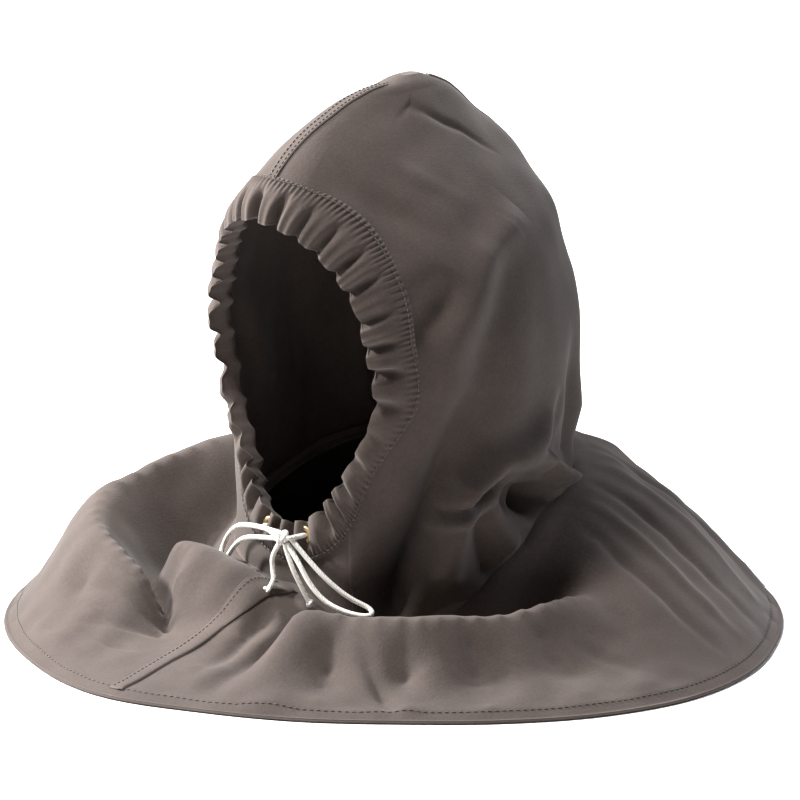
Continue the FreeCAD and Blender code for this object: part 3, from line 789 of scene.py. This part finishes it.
CAPE_FOLDS = (
    # beside the centre seam, in front
    Fold(polar((6, 112, 0), (7, 130, -5), (9, 160, -4), (10, 190, 0)), 7.0),
    Fold(polar((12, 118, 0), (12, 150, 5), (11, 185, 4), (10, 212, 0)), 7.0),
    # down the front of the roll
    Fold(polar((37, 160, 0), (40, 178, -3), (43, 200, -4), (45, 219, -2)), 5.0),
    Fold(polar((47, 168, 0), (50, 185, 2.5), (51, 205, 0)), 9.0),
    Fold(polar((62, 172, 0), (64, 190, -2.5), (63, 210, 0)), 9.0),
    Fold(polar((80, 170, 0), (84, 190, -3), (88, 215, 0)), 7.0),
    Fold(polar((70, 146, 0), (80, 148, 3), (92, 150, 0)), 4.0),
    # straight creases on the near back
    Fold(polar((112, 112, 0), (108, 150, -3.5), (106, 190, -3), (105, 228, 0)), 5.0),
    Fold(polar((120, 112, 0), (117, 150, 3), (114, 195, 3), (113, 228, 0)), 5.0),
    Fold(polar((128, 112, 0), (126, 150, -3.5), (123, 190, -3), (121, 228, 0)), 5.0),
    Fold(polar((139, 115, 0), (136, 150, 2.6), (133, 190, 2.4), (131, 226, 0)), 6.0),
    Fold(polar((150, 115, 0), (147, 150, -3), (143, 190, -2.6), (141, 226, 0)), 6.0),
    Fold(polar((165, 118, 0), (163, 150, 3), (160, 200, 0)), 8.0),
    Fold(polar((-172, 118, 0), (-170, 150, -4), (-168, 205, 0)), 8.0),
    Fold(polar((-150, 118, 0), (-148, 160, 3.5), (-147, 210, 0)), 8.0),
    Fold(polar((-130, 118, 0), (-128, 160, -5), (-126, 215, 0)), 9.0),
    Fold(polar((-112, 160, 0), (-108, 190, 3), (-106, 220, 0)), 8.0),
    # the far mound's creases, which run together at the centre seam
    Fold(polar((-13, 162, -3), (-22, 178, -2.6), (-34, 200, 0)), 3.4),
    Fold(polar((-11, 170, -2.6), (-17, 186, -2.4), (-25, 208, 0)), 3.4),
    Fold(polar((-16, 158, -3), (-24, 168, -2.6), (-38, 186, 0)), 3.0),
    Fold(polar((-6, 190, 0), (-13, 198, -2), (-30, 222, 0)), 3.4),
    Fold(polar((-56, 200, 0), (-64, 210, 2), (-72, 222, 0)), 6.0),
    Fold(polar((-33, 140, -4), (-22, 150, -4), (-13, 158, -2)), 3.4),
)
CROWN_STEPS = 150
SIDE_STEPS = 110
CAPE_STEPS = 130
TURN_STEPS = 720


@dataclass
class Garment:
    """All the cloth as one grid from the peak to the hem, and its panels cut from that grid."""

    hood: HoodForm
    cape: CapeForm
    eye_height: float = 200.0
    top_gap: float = 0.5
    wander: float = 0.9
    ripples: tuple[tuple[float, float], ...] = ((95.0, 1.0), (60.0, 0.8), (38.0, 0.5), (24.0, 0.28))
    ripple_ways: int = 5
    ripple_softness: float = 2.2
    neck_row: int = CROWN_STEPS + SIDE_STEPS - 1
    places: np.ndarray = field(init=False)
    normals: np.ndarray = field(init=False)

    @property
    def rise(self) -> float:
        """Height of the crown over the level where its rows begin to close in."""
        return self.hood.peak_height - self.top_gap - self.eye_height

    def build(self) -> None:
        """Work out the places of the whole grid."""
        bearing = np.linspace(0.0, TURN, TURN_STEPS + 1)
        degrees = (np.degrees(bearing) + 180.0) % 360.0 - 180.0
        crown = np.linspace(0.0, 1.0, CROWN_STEPS)
        crown_height = self.eye_height + self.rise * np.cos(crown * math.pi / 2)
        side = np.linspace(0.0, 1.0, SIDE_STEPS + 1)[1:]
        neck = self.cape.neck_point(bearing)[..., 2]
        side_height = self.eye_height + (neck[None] - self.eye_height) * side[:, None]
        height = np.concatenate([np.repeat(crown_height[:, None], len(bearing), axis=1), side_height])
        hood_places = self.hood.point(bearing[None], height)
        folded = np.zeros_like(height)
        for turn in (-360.0, 0.0, 360.0):
            around = (np.broadcast_to(degrees, height.shape) + turn) * MM_PER_DEGREE
            for fold in HOOD_FOLDS:
                folded += fold.at(around, height)
        folded *= ease(height, neck[None] - 2.0, neck[None] + 14.0)
        hood_places = hood_places + normals_of(hood_places) * folded[..., None]
        share = np.linspace(0.0, 1.0, CAPE_STEPS + 1)[1:, None]
        cape_places = self.cape.point(bearing[None], share)
        lifted = np.zeros_like(cape_places[..., 0])
        for fold in CAPE_FOLDS:
            lifted += fold.at(cape_places[..., 0], cape_places[..., 1])
        lifted *= ease(share, 0.0, 0.1) * (1 - ease(share, 0.9, 0.985))
        cape_places[..., 2] = np.maximum(cape_places[..., 2] + lifted, self.cape.hem_height)
        places = np.concatenate([hood_places, cape_places])
        loose = np.ones(places.shape[:2])
        loose[self.neck_row + 1:] = 1 - ease(share, 0.86, 0.97)
        shift = self.ripple(places) * self.wander * loose
        self.places = places + normals_of(places) * shift[..., None]
        self.places[:, -1] = self.places[:, 0]
        self.places[0] = self.places[0].mean(axis=0)
        self.normals = normals_of(self.places)

    def ripple(self, places: np.ndarray) -> np.ndarray:
        """The slight unevenness of cloth that nothing pulls flat."""
        chance = np.random.default_rng(3)
        total = np.zeros(places.shape[:2])
        for length, size in self.ripples:
            for _ in range(self.ripple_ways):
                way = chance.normal(size=3)
                way *= TURN / length / np.linalg.norm(way)
                total += size * np.sin(places @ way + chance.uniform(0, TURN)) / self.ripple_softness
        return total

    def sample(self, row: np.ndarray, bearing: np.ndarray, lift: np.ndarray | float = 0.0) -> np.ndarray:
        """Places on the cloth between the grid's own.

        Args:
            row: how far down the grid, in rows.
            bearing: radians.
            lift: how far off the cloth.

        Returns:
            An array whose last axis is x, y, z.
        """
        row, bearing, lift = np.broadcast_arrays(row, bearing, lift)
        column = (bearing % TURN) / TURN * TURN_STEPS
        low_row = np.clip(np.floor(row).astype(int), 0, self.places.shape[0] - 2)
        low_column = np.clip(np.floor(column).astype(int), 0, TURN_STEPS - 1)
        part_row = (row - low_row)[..., None]
        part_column = (column - low_column)[..., None]
        result = 0.0
        for grid, weight in ((self.places, 1.0), (self.normals, lift[..., None])):
            upper, lower = (
                grid[row_here, low_column] * (1 - part_column) + grid[row_here, low_column + 1] * part_column
                for row_here in (low_row, low_row + 1)
            )
            result = result + (upper * (1 - part_row) + lower * part_row) * weight
        return result

    def cape_row(self, share: np.ndarray) -> np.ndarray:
        """The grid row at a share of the cape."""
        return self.neck_row + np.asarray(share) * CAPE_STEPS

    def panel(self, name: str, rows: slice, columns: slice) -> bpy.types.Object:
        """One panel's sheet of faces, cut out of the grid."""
        return grid_object(name, self.places[rows, columns])


# what belongs to the front lies before this y
FRONT_LIMIT = -20.0


@dataclass
class FaceCasing:
    """The gathered tunnel round the face opening."""

    hood: HoodForm
    middle: float = 174.0
    half_width: float = 65.5
    half_height: float = 94.0
    side_width: float = 16.5
    end_width: float = 25.0
    narrowing: float = 0.2
    chin_height: float = 108.0
    chin_spread: float = 36.0
    steps: int = 720
    lines: int = 40
    outer_share: float = 0.7
    edge_roll: float = 3.6
    flap: float = 10.0
    # the gathers: big pleats with small ones between, and puckers where the seam draws the cloth in
    pleats: int = 33
    pleat_depth: float = 5.2
    small_pleats: int = 67
    small_depth: float = 0.9
    puckers: int = 190
    pucker_depth: float = 0.55

    def chin(self, z: np.ndarray) -> np.ndarray:
        """How far the casing narrows towards the chin, as a share of its width."""
        return 1 - self.narrowing * bell(z, self.chin_height, self.chin_spread)

    def oval(self, turn: np.ndarray, inset: np.ndarray) -> tuple[np.ndarray, np.ndarray]:
        """x and z on the casing, inset being 0 on the cord's edge and 1 on the seam."""
        z = self.middle - (self.half_height + self.end_width * inset) * np.cos(turn)
        x = (self.half_width + self.side_width * inset) * np.sin(turn) * self.chin(z)
        return x, z

    def inside(self, places: np.ndarray, inset: float) -> np.ndarray:
        """Which places lie within the casing's oval, on the front."""
        z = (places[:, 2] - self.middle) / (self.half_height + self.end_width * inset)
        x = places[:, 0] / (self.half_width + self.side_width * inset) / self.chin(places[:, 2])
        return (x**2 + z**2 < 1.0) & (places[:, 1] < FRONT_LIMIT)

    def places(self, first: float, last: float) -> np.ndarray:
        """The casing's gathered surface, from its seam, over the edge, to its inner side."""
        turn = np.linspace(first, last, self.steps + 1)[None]
        line = np.linspace(0.0, 1.0, self.lines)[:, None]
        wander = SmoothNoise(11, 14)
        warp = turn + 0.1 * wander.at(turn, 3)
        big = SmoothNoise(5, 10)
        wave = 0.5 + 0.5 * np.cos(self.pleats * warp)
        lobe = 1 - (1 - wave) ** 2.6
        second = 0.5 + 0.5 * np.cos(self.small_pleats * warp + 2.0 * big.at(turn, 4))
        size = np.clip(1.0 + 0.75 * big.at(turn, 5), 0.35, 1.7)
        outer = np.clip(line / self.outer_share, 0.0, 1.0)
        inner = np.clip((line - self.outer_share) / (1 - self.outer_share), 0.0, 1.0)
        gather = ease(outer, 0.12, 0.7)
        roll = np.sin(np.clip(outer, 0, 1) * math.pi * 0.86) ** 0.8
        puff = gather * (self.pleat_depth * size * (lobe - 0.75) + self.small_depth * (second - 0.5))
        proud = 0.5 + self.edge_roll * roll + puff * (1 - 0.8 * inner)
        proud = proud - self.flap * ease(inner, 0.0, 0.55)
        near_seam = (1 - ease(outer, 0.0, 0.4)) * ease(outer, 0.0, 0.05)
        pucker = np.sin(self.puckers * warp + 2.0 * wander.at(turn, 9))
        proud = proud + near_seam * self.pucker_depth * pucker
        inset = 1.0 - outer + 0.5 * inner
        inset = inset - 0.1 * gather * (1 - inner) * size * (lobe - 0.6)
        x, z = self.oval(turn, inset)
        return self.hood.front_point(x, z, proud)

    def seam_line(self, turn: np.ndarray, inset: float, proud: float) -> np.ndarray:
        """A line that follows the casing's seam."""
        x, z = self.oval(turn, np.full_like(turn, inset))
        return self.hood.front_point(x, z, np.full_like(turn, proud))


# ---------------------------------------------------------------- cord


@dataclass
class CordPiece:
    """A length of cotton cord along its route."""

    name: str
    route: tuple[Triple, ...]
    radius: float = 1.5

    def build(self) -> bpy.types.Object:
        """The cord as a smooth curve with a round section.

        Returns:
            The curve object.
        """
        curve = bpy.data.curves.new(self.name, "CURVE")
        curve.dimensions = "3D"
        line = curve.splines.new("NURBS")
        line.points.add(len(self.route) - 1)
        for point, place in zip(line.points, self.route):
            point.co = (*(value * MM for value in place), 1.0)
        line.order_u = 3
        line.use_endpoint_u = True
        line.resolution_u = 10
        curve.bevel_depth = self.radius * MM
        curve.bevel_resolution = 4
        curve.use_fill_caps = True
        piece = bpy.data.objects.new(self.name, curve)
        bpy.context.collection.objects.link(piece)
        return piece


def smooth_line(route: Sequence[Sequence[float]], steps: int = 10) -> np.ndarray:
    """A smooth line through a route's points.

    Args:
        route: places in millimetres.
        steps: points added for each stretch.

    Returns:
        Closely spaced places along the line.
    """
    spots = np.array(route, dtype=float)
    spots = np.concatenate([2 * spots[:1] - spots[1:2], spots, 2 * spots[-1:] - spots[-2:-1]])
    line = []
    for before, here, there, after in zip(spots, spots[1:], spots[2:], spots[3:]):
        for share in np.arange(steps) / steps:
            line.append(
                0.5 * (
                    2 * here + (there - before) * share
                    + (2 * before - 5 * here + 4 * there - after) * share**2
                    + (3 * here - before - 3 * there + after) * share**3
                )
            )
    line.append(spots[-2])
    return np.array(line)


# a direction that no cord starts along
ASKEW = (0.31, 0.42, 0.85)


def tube(name: str, lines: Sequence[np.ndarray], radius: float, closed: bool = False) -> bpy.types.Object:
    """Round tubes along lines, as one mesh.

    Args:
        name: the piece's name.
        lines: each tube's centre line in millimetres.
        radius: of every tube.
        closed: whether each tube runs back into its own start.

    Returns:
        The new object.
    """
    spokes = 12
    turns = np.linspace(0.0, TURN, spokes, endpoint=False)[:, None]
    places: list[np.ndarray] = []
    faces: list[tuple[int, ...]] = []
    for line in lines:
        base = sum(len(block) for block in places)
        ahead = np.gradient(line, axis=0)
        if closed:
            ahead = np.roll(line, -1, axis=0) - np.roll(line, 1, axis=0)
        ahead /= np.linalg.norm(ahead, axis=1, keepdims=True)
        side = np.cross(ahead[0], ASKEW)
        rings = []
        for centre, way in zip(line, ahead):
            side = side - way * (side @ way)
            side /= np.linalg.norm(side)
            rings.append(centre + radius * (np.cos(turns) * side + np.sin(turns) * np.cross(way, side)))
        places.append(np.concatenate(rings))
        faces += ring_faces(base, len(line), spokes, closed)
    return solid_object(name, places, faces)


def trefoil(middle: Sequence[float], scale: Sequence[float], turn: float = 0.0) -> np.ndarray:
    """The line of a simple knot round a middle, flat along Y."""
    angle = np.linspace(0.0, TURN, 90, endpoint=False) + turn
    x = np.sin(angle) + 2 * np.sin(2 * angle)
    z = np.cos(angle) - 2 * np.cos(2 * angle)
    y = -np.sin(3 * angle)
    return np.array(middle) + np.stack([x * scale[0], y * scale[1], z * scale[2]], axis=-1)


@dataclass
class Bow:
    """The drawcord in its tunnel, the two leads, the knot, the loops and the knotted ends."""

    casing: FaceCasing
    cord: bpy.types.Material
    radius: float = 1.5
    knot: Triple = (8.0, -103.3, 74.0)
    knot_scale: Triple = (1.25, 1.5, 1.3)
    knot_turn: float = 0.35
    knot_half_width: float = 4.6
    end_knot_scale: Triple = (0.62, 0.75, 0.62)
    end_knot_radius: float = 1.1
    eyelet_x: float = 15.0
    tunnel_y: float = -88.3
    mouth_y: float = -97.3
    # where the drawcord leaves its tunnel beside the chin, and where it lies in the tunnel
    leaves_at: float = 0.36
    inset: float = 0.4
    sunk: float = -3.6

    def done(self, piece: bpy.types.Object, body: str | None, *nodes: str) -> bpy.types.Object:
        """Give a piece its cord finish and, where one is given, its body, and hide the parts that it stands
        in for.
        """
        dress(piece, self.cord)
        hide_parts(*nodes)
        if body is not None:
            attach(piece, body)
        LOG.info("%s: cord", piece.name)
        return piece

    def build_held(self) -> None:
        """The drawcord inside the casing and the two leads that come out of the eyelets."""
        turn = np.linspace(self.leaves_at, TURN - self.leaves_at, 240)
        line = self.casing.seam_line(turn, self.inset, self.sunk)
        self.done(tube("drawcord", [line], self.radius), HOOD, "drawcord_in_casing")
        for side, sign in (("left", 1), ("right", -1)):
            route = [
                (sign * (self.eyelet_x + 7.0), self.tunnel_y + 1.2, self.knot[2]),
                (sign * (self.eyelet_x + 2.6), self.tunnel_y + 0.5, self.knot[2]),
                (sign * (self.eyelet_x + 0.4), self.tunnel_y - 2.6, self.knot[2]),
                (sign * self.eyelet_x, self.mouth_y + 1.5, self.knot[2]),
                (self.knot[0] + sign * (self.knot_half_width + 1.2), self.knot[1] + 0.6, self.knot[2]),
                (self.knot[0] + sign * self.knot_half_width * 0.5, self.knot[1], self.knot[2]),
            ]
            lead = tube(f"{side}_lead", [smooth_line(route)], self.radius)
            self.done(lead, None, f"cord_lead_{side}")
            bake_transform(lead)

    def build_bow(self) -> None:
        """The knot, the two loops and the two ends, each with its own small knot."""
        line = trefoil(self.knot, self.knot_scale, self.knot_turn)
        knot = tube("bow_tie", [line], self.radius, closed=True)
        self.done(knot, BOW, "bow_knot")
        for name, route, length, node in (
            ("bow_left_loop", LOOP_LEFT, 0.138, "bow_loop_left"),
            ("bow_right_loop", LOOP_RIGHT, 0.144, "bow_loop_right"),
        ):
            piece = self.done(CordPiece(name, route).build(), BOW, node)
            self.free(piece, route, length, "object")
        for side, route, length in (("left", END_LEFT, 0.032), ("right", END_RIGHT, 0.039)):
            piece = self.done(CordPiece(f"{side}_cord_end", route).build(), BOW, f"cord_end_{side}")
            line = trefoil(route[-1], self.end_knot_scale)
            small = tube(f"{side}_end_tie", [line], self.end_knot_radius, closed=True)
            self.done(small, BOW, f"end_knot_{side}")
            self.free(piece, route, length, "knot", small)

    def free(self, piece: bpy.types.Object, route: Sequence[Sequence[float]], length: float,
             far_end: str, *pieces: bpy.types.Object) -> None:
        """Takes one hanging stretch of cord and does nothing with it."""


# ---------------------------------------------------------------- studio


@dataclass
class Studio:
    """Camera, floor and soft lights."""

    azimuth: float = 45.0
    elevation: float = 15.0
    distance: float = 7.0
    lens: float = 525.0
    look_at: Triple = (0.002, 0.002, 0.137)
    floor_size: float = 80.0
    floor_tone: float = 0.86
    floor_roughness: float = 0.9
    ambient: float = 0.09

    def place(self, azimuth: float, elevation: float, distance: float) -> Triple:
        """A place round the object, azimuth 0 being the front and growing towards +X."""
        across = distance * math.cos(math.radians(elevation))
        bearing = math.radians(azimuth)
        return (
            self.look_at[0] + across * math.sin(bearing),
            self.look_at[1] - across * math.cos(bearing),
            self.look_at[2] + distance * math.sin(math.radians(elevation)),
        )

    def aim(self, thing: bpy.types.Object, place: Triple, target: Triple | None = None) -> None:
        """Put a thing somewhere and turn it to face the target, or the object."""
        thing.location = place
        look = Vector(target or self.look_at) - Vector(place)
        thing.rotation_euler = look.to_track_quat("-Z", "Y").to_euler()

    def camera(self) -> None:
        """Make the camera and set it as the scene's."""
        data = bpy.data.cameras.new("camera")
        data.lens = self.lens
        data.sensor_width = 36.0
        thing = bpy.data.objects.new("camera", data)
        bpy.context.collection.objects.link(thing)
        self.aim(thing, self.place(self.azimuth, self.elevation, self.distance))
        bpy.context.scene.camera = thing

    def lamp(self, name: str, place: Triple, power: float, size: float, colour: Triple,
             target: Triple | None = None) -> None:
        """One soft area lamp that faces the target, or the object."""
        data = bpy.data.lights.new(name, "AREA")
        data.energy = power
        data.size = size
        data.color = colour
        thing = bpy.data.objects.new(name, data)
        bpy.context.collection.objects.link(thing)
        self.aim(thing, place, target)

    def build(self) -> None:
        """Make everything that isn't part of the object."""
        self.camera()
        deselect()
        bpy.ops.mesh.primitive_plane_add(size=self.floor_size, location=(0.0, 0.0, 0.0))
        floor = bpy.context.object
        floor.name = "studio_floor"
        pale = bpy.data.materials.new("pale_floor")
        pale.use_nodes = True
        shader = pale.node_tree.nodes["Principled BSDF"]
        shader.inputs["Base Color"].default_value = (*[self.floor_tone] * 3, 1.0)
        shader.inputs["Roughness"].default_value = self.floor_roughness
        floor.data.materials.append(pale)
        self.lamp("key", self.place(-60.0, 30.0, 1.7), 84.0, 0.2, (1.0, 0.985, 0.965))
        self.lamp("brow", self.place(-38.0, 66.0, 1.8), 62.0, 0.3, (1.0, 0.99, 0.98))
        self.lamp("back", self.place(150.0, 34.0, 1.8), 11.0, 0.5, (0.86, 0.92, 1.0))
        behind = self.place(225.0, 0.0, 1.3)
        self.lamp("sweep", self.place(225.0, 40.0, 2.8), 46.0, 1.2, (1.0, 1.0, 1.0), behind)
        world = bpy.data.worlds.new("studio")
        world.use_nodes = True
        background = world.node_tree.nodes["Background"]
        background.inputs["Color"].default_value = (1.0, 1.0, 1.0, 1.0)
        background.inputs["Strength"].default_value = self.ambient
        bpy.context.scene.world = world
        bpy.context.scene.view_settings.view_transform = "Standard"


LOOP_LEFT = (
    (4, -101, 75), (-10, -102, 76), (-25, -99, 74), (-40, -94, 70), (-52, -91, 60), (-54, -95, 48),
    (-45, -99, 48), (-37, -98, 60), (-25, -101, 67), (-10, -103, 70), (4, -103, 72),
)
LOOP_RIGHT = (
    (12, -101, 74), (23, -98, 63), (36, -94, 51), (49, -88, 41), (61, -80, 35), (65, -85, 32),
    (54, -92, 33), (40, -98, 38), (29, -101, 48), (21, -102, 60), (11, -102, 70),
)
END_RIGHT = ((10, -103, 70), (15, -103, 58), (20, -100, 46), (25, -97, 35))
END_LEFT = ((6, -103, 70), (2, -106, 62), (3, -106, 53), (6, -108, 46), (5, -113, 42))


@dataclass(frozen=True)
class Cut:
    """A panel's size before it was sewn, in metres and square metres."""

    width: float
    length: float
    area: float


def surface(piece: bpy.types.Object) -> float:
    """Area of one side of a thin closed piece of cloth, in square metres."""
    return sum(face.area for face in piece.data.polygons) / 2


def finished(piece: bpy.types.Object, material: bpy.types.Material, node: str) -> None:
    """Dress a piece of the hood's body, let it ride, and hide the part that it stands in for."""
    dress(piece, material)
    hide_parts(node)
    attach(piece, HOOD)
    LOG.info("%s: %d faces, %.4f m2 of cloth", piece.name, len(piece.data.polygons), surface(piece))


@dataclass(frozen=True)
class Section:
    """A strip of cloth cut across: places from edge to edge and how far the cloth stands proud there."""

    across: tuple[float, ...]
    lifts: tuple[float, ...]


# measured in millimetres from the seam
CROWN_LAP = Section((-6.0, -5.6, -3.0, 0.0, 2.6, 3.2, 3.4), (0.2, 1.0, 1.0, 1.1, 1.9, 1.5, 0.1))
CAPE_LAP = Section((-5.0, -4.7, 0.0, 3.6, 4.4, 4.6), (0.1, 0.9, 1.0, 1.9, 1.4, 0.1))
# measured in rows of the grid from the neck
NECK_TAPE = Section((-8.0, -7.6, 2.0, 2.4), (-1.0, -1.6, -1.6, -1.0))
# measured in shares of the cape
HEM = Section((0.93, 0.932, 0.95, 0.985, 1.0), (0.05, 0.7, 0.9, 0.9, 0.5))


@dataclass
class Panels:
    """The cut pieces of cloth and the strips and rows of stitches that join them."""

    garment: Garment
    casing: FaceCasing
    cloth: bpy.types.Material
    thread: bpy.types.Material
    thickness: float = 0.8
    lap_thickness: float = 0.5
    chin_half_width: float = 45.0
    opening_inset: float = 0.7
    casing_row: float = 0.93
    crown_top: float = 333.0
    crown_front: float = 286.0
    crown_back: float = 112.0
    middle: Triple = (0.0, 8.0, 190.0)
    lap_span: tuple[float, float] = (0.02, 0.955)
    lap_steps: int = 120
    lap_rows: tuple[float, float] = (-3.4, 2.6)
    neck_stitch_row: float = -2.0
    hem_stitch_share: float = 0.942
    lip_height: float = 1.3
    lip_reach: float = 1.0035
    under_height: float = 0.15
    under_reach: float = 0.9955
    turning_reach: float = 0.965

    def in_chin(self, places: np.ndarray) -> np.ndarray:
        """Which places belong to the chin panel."""
        front = (places[:, 1] < FRONT_LIMIT) & (places[:, 2] < self.casing.middle)
        return front & (np.abs(places[:, 0]) < self.chin_half_width)

    def build_cloth(self) -> None:
        """Hood, chin and cape."""
        half = TURN_STEPS // 2
        rows = slice(0, self.garment.neck_row + 1)
        for side, columns in (("left", slice(0, half + 1)), ("right", slice(half, TURN_STEPS + 1))):
            shell = self.garment.panel(f"hood_{side}_cloth", rows, columns)
            drop_faces(shell, lambda at: self.casing.inside(at, self.opening_inset) | self.in_chin(at))
            thicken(shell, self.thickness)
            finished(shell, self.cloth, f"hood_panel_{side}")
            panel = self.garment.panel(f"cape_{side}_cloth", slice(self.garment.neck_row, None), columns)
            thicken(panel, self.thickness)
            finished(panel, self.cloth, f"cape_{side}")
        front = np.concatenate(
            [self.garment.places[rows, half:-1], self.garment.places[rows, :half + 1]], axis=1
        )
        chin = grid_object("chin_cloth", front)
        drop_faces(chin, lambda at: self.casing.inside(at, self.opening_inset) | ~self.in_chin(at))
        thicken(chin, self.thickness)
        finished(chin, self.cloth, "chin_panel")

    def build_casing(self) -> None:
        """The gathered casing's two halves and the stitching along its seam."""
        for side, first in (("left", 0.0), ("right", math.pi)):
            band = grid_object(f"casing_{side}_cloth", self.casing.places(first, first + math.pi))
            thicken(band, self.thickness)
            finished(band, self.cloth, f"face_casing_{side}")
        turn = np.linspace(0.0, TURN, 900)
        row = self.casing.seam_line(turn, self.casing_row, 2.0)
        up = self.casing.seam_line(turn, self.casing_row, 3.0) - row
        self.stitch("casing_stitches", "face_casing_stitching", [(row, up)])

    def stitch(self, name: str, node: str, rows: Sequence[tuple[np.ndarray, np.ndarray]],
               sewing: Sewing = Sewing()) -> None:
        """Sew rows of stitches as one piece, each row given by its line and the way out of the cloth."""
        seam = sewing.build(name, [line for line, _ in rows], [up for _, up in rows])
        finished(seam, self.thread, node)

    def sewn_row(self, row: np.ndarray | float, bearing: np.ndarray,
                 lift: float) -> tuple[np.ndarray, np.ndarray]:
        """A line that lies on the garment, and the way out of the cloth along it."""
        line = self.garment.sample(row, bearing, lift)
        return line, line - self.garment.sample(row, bearing, lift - 1.0)

    def build_crown_seam(self) -> None:
        """The lapped seam over the crown, from the casing over the peak to the neck, and its stitches."""
        hood, garment = self.garment.hood, self.garment
        places: list[np.ndarray] = []
        offsets, lifts = np.array(CROWN_LAP.across), np.array(CROWN_LAP.lifts)
        rising = np.linspace(self.crown_front, self.crown_top, 60)
        falling = np.linspace(self.crown_top, self.crown_back, 130)
        heights = np.concatenate([rising, falling])
        behind = np.arange(len(heights)) >= len(rising)
        for height, is_behind in zip(heights, behind):
            half = along(hood.levels, np.array([height]), 1)[0]
            swing = np.arcsin(np.clip(offsets / half, -0.95, 0.95))
            bearing = math.pi - swing if is_behind else swing
            if height >= garment.eye_height:
                turn = math.acos(min((height - garment.eye_height) / garment.rise, 1.0))
                row = np.full(len(offsets), turn / (math.pi / 2) * (CROWN_STEPS - 1))
            else:
                neck = garment.cape.neck_point(bearing)[..., 2]
                share = (height - garment.eye_height) / (neck - garment.eye_height)
                row = CROWN_STEPS - 1 + share * SIDE_STEPS
            places.append(garment.sample(row, bearing, lifts))
        grid = np.stack(places)
        seam = grid_object("crown_lap", grid)
        thicken(seam, self.lap_thickness)
        finished(seam, self.cloth, "crown_seam_fell")
        rows = []
        for line in (grid[:, 2], 0.5 * (grid[:, 3] + grid[:, 4])):
            up = self.outward(line)
            rows.append((line + 0.4 * up, up))
        self.stitch("crown_stitches", "crown_seam_stitching", rows)

    def outward(self, row: np.ndarray) -> np.ndarray:
        """Directions away from the hood's middle, for a line on the crown."""
        away = row - np.array(self.middle)
        return away / np.linalg.norm(away, axis=1, keepdims=True)

    def build_cape_seams(self) -> None:
        """The laps at the centre front and back with their stitches."""
        garment = self.garment
        rows = garment.cape_row(np.linspace(*self.lap_span, self.lap_steps))
        for name, bearing in (("front", 0.0), ("back", math.pi)):
            middle = garment.sample(rows, np.full(len(rows), bearing))
            radius = np.hypot(middle[:, 0], middle[:, 1])
            across = bearing + np.array(CAPE_LAP.across)[None] / radius[:, None]
            lap = grid_object(f"{name}_lap", garment.sample(rows[:, None], across, np.array(CAPE_LAP.lifts)))
            thicken(lap, self.lap_thickness)
            finished(lap, self.cloth, f"{name}_seam_fell")
            sewn = [self.sewn_row(rows, bearing + offset / radius, 1.5) for offset in self.lap_rows]
            self.stitch(f"{name}_stitches", f"{name}_seam_stitching", sewn)

    def build_neck_seam(self) -> None:
        """The tape inside the neck and the stitches that hold it."""
        garment = self.garment
        turn = np.linspace(0.0, TURN, TURN_STEPS + 1)
        rows = garment.neck_row + np.array(NECK_TAPE.across)
        places = garment.sample(rows[:, None], turn[None], np.array(NECK_TAPE.lifts)[:, None])
        finished(grid_object("neck_tape", places), self.cloth, "neck_seam_tape")
        sewn = [self.sewn_row(garment.neck_row + self.neck_stitch_row, turn, 0.3)]
        self.stitch("neck_stitches", "neck_seam_stitching", sewn)

    def build_hem(self) -> None:
        """The turned hem in two halves and the row of stitches round it."""
        garment = self.garment
        half = TURN_STEPS // 2
        turn = np.linspace(0.0, TURN, TURN_STEPS + 1)
        rows = garment.cape_row(np.array(HEM.across))[:, None]
        for side, columns in (("left", slice(0, half + 1)), ("right", slice(half, TURN_STEPS + 1))):
            top = garment.sample(rows, turn[None, columns], np.array(HEM.lifts)[:, None])
            lip = top[-1:].copy()
            lip[..., :2] *= self.lip_reach
            lip[..., 2] = self.lip_height
            under = lip.copy()
            under[..., :2] *= self.under_reach
            under[..., 2] = self.under_height
            inner = under.copy()
            inner[..., :2] *= self.turning_reach
            band = grid_object(f"hem_{side}_cloth", np.concatenate([top, lip, under, inner]))
            finished(band, self.cloth, f"hem_band_{side}")
        sewn = [self.sewn_row(garment.cape_row(self.hem_stitch_share), np.linspace(0.0, TURN, 2400), 1.0)]
        self.stitch("hem_stitches", "hem_stitching", sewn, Sewing(length=2.6, gap=1.6, radius=0.4))


def main() -> None:
    """Build the hood around the frame, piece by piece."""
    logging.basicConfig(level=logging.INFO, format="%(message)s")
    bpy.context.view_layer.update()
    Studio().build()
    cloth = ClothFinish().build()
    # each yarn's second tone is the painted shade in its grooves
    thread = YarnFinish("sewing_thread", (0.075, 0.06, 0.052), (0.035, 0.028, 0.024), 2400.0).build()
    cord = YarnFinish("braided_cotton", (0.86, 0.84, 0.79), (0.5, 0.47, 0.42), 520.0).build()
    brass = BrassFinish().build()
    hood = HoodForm()
    garment = Garment(hood, CapeForm(hood))
    garment.build()
    panels = Panels(garment, FaceCasing(hood), cloth, thread)
    panels.build_cloth()
    panels.build_casing()
    panels.build_crown_seam()
    panels.build_cape_seams()
    panels.build_neck_seam()
    panels.build_hem()
    bow = Bow(panels.casing, cord)
    bow.build_held()
    bow.build_bow()
    for name in ("eyelet_left", "eyelet_right", "eyelet_washer_left", "eyelet_washer_right"):
        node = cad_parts[name]
        node.data.materials.clear()
        node.data.materials.append(brass)


if __name__ == "__main__":
    main()
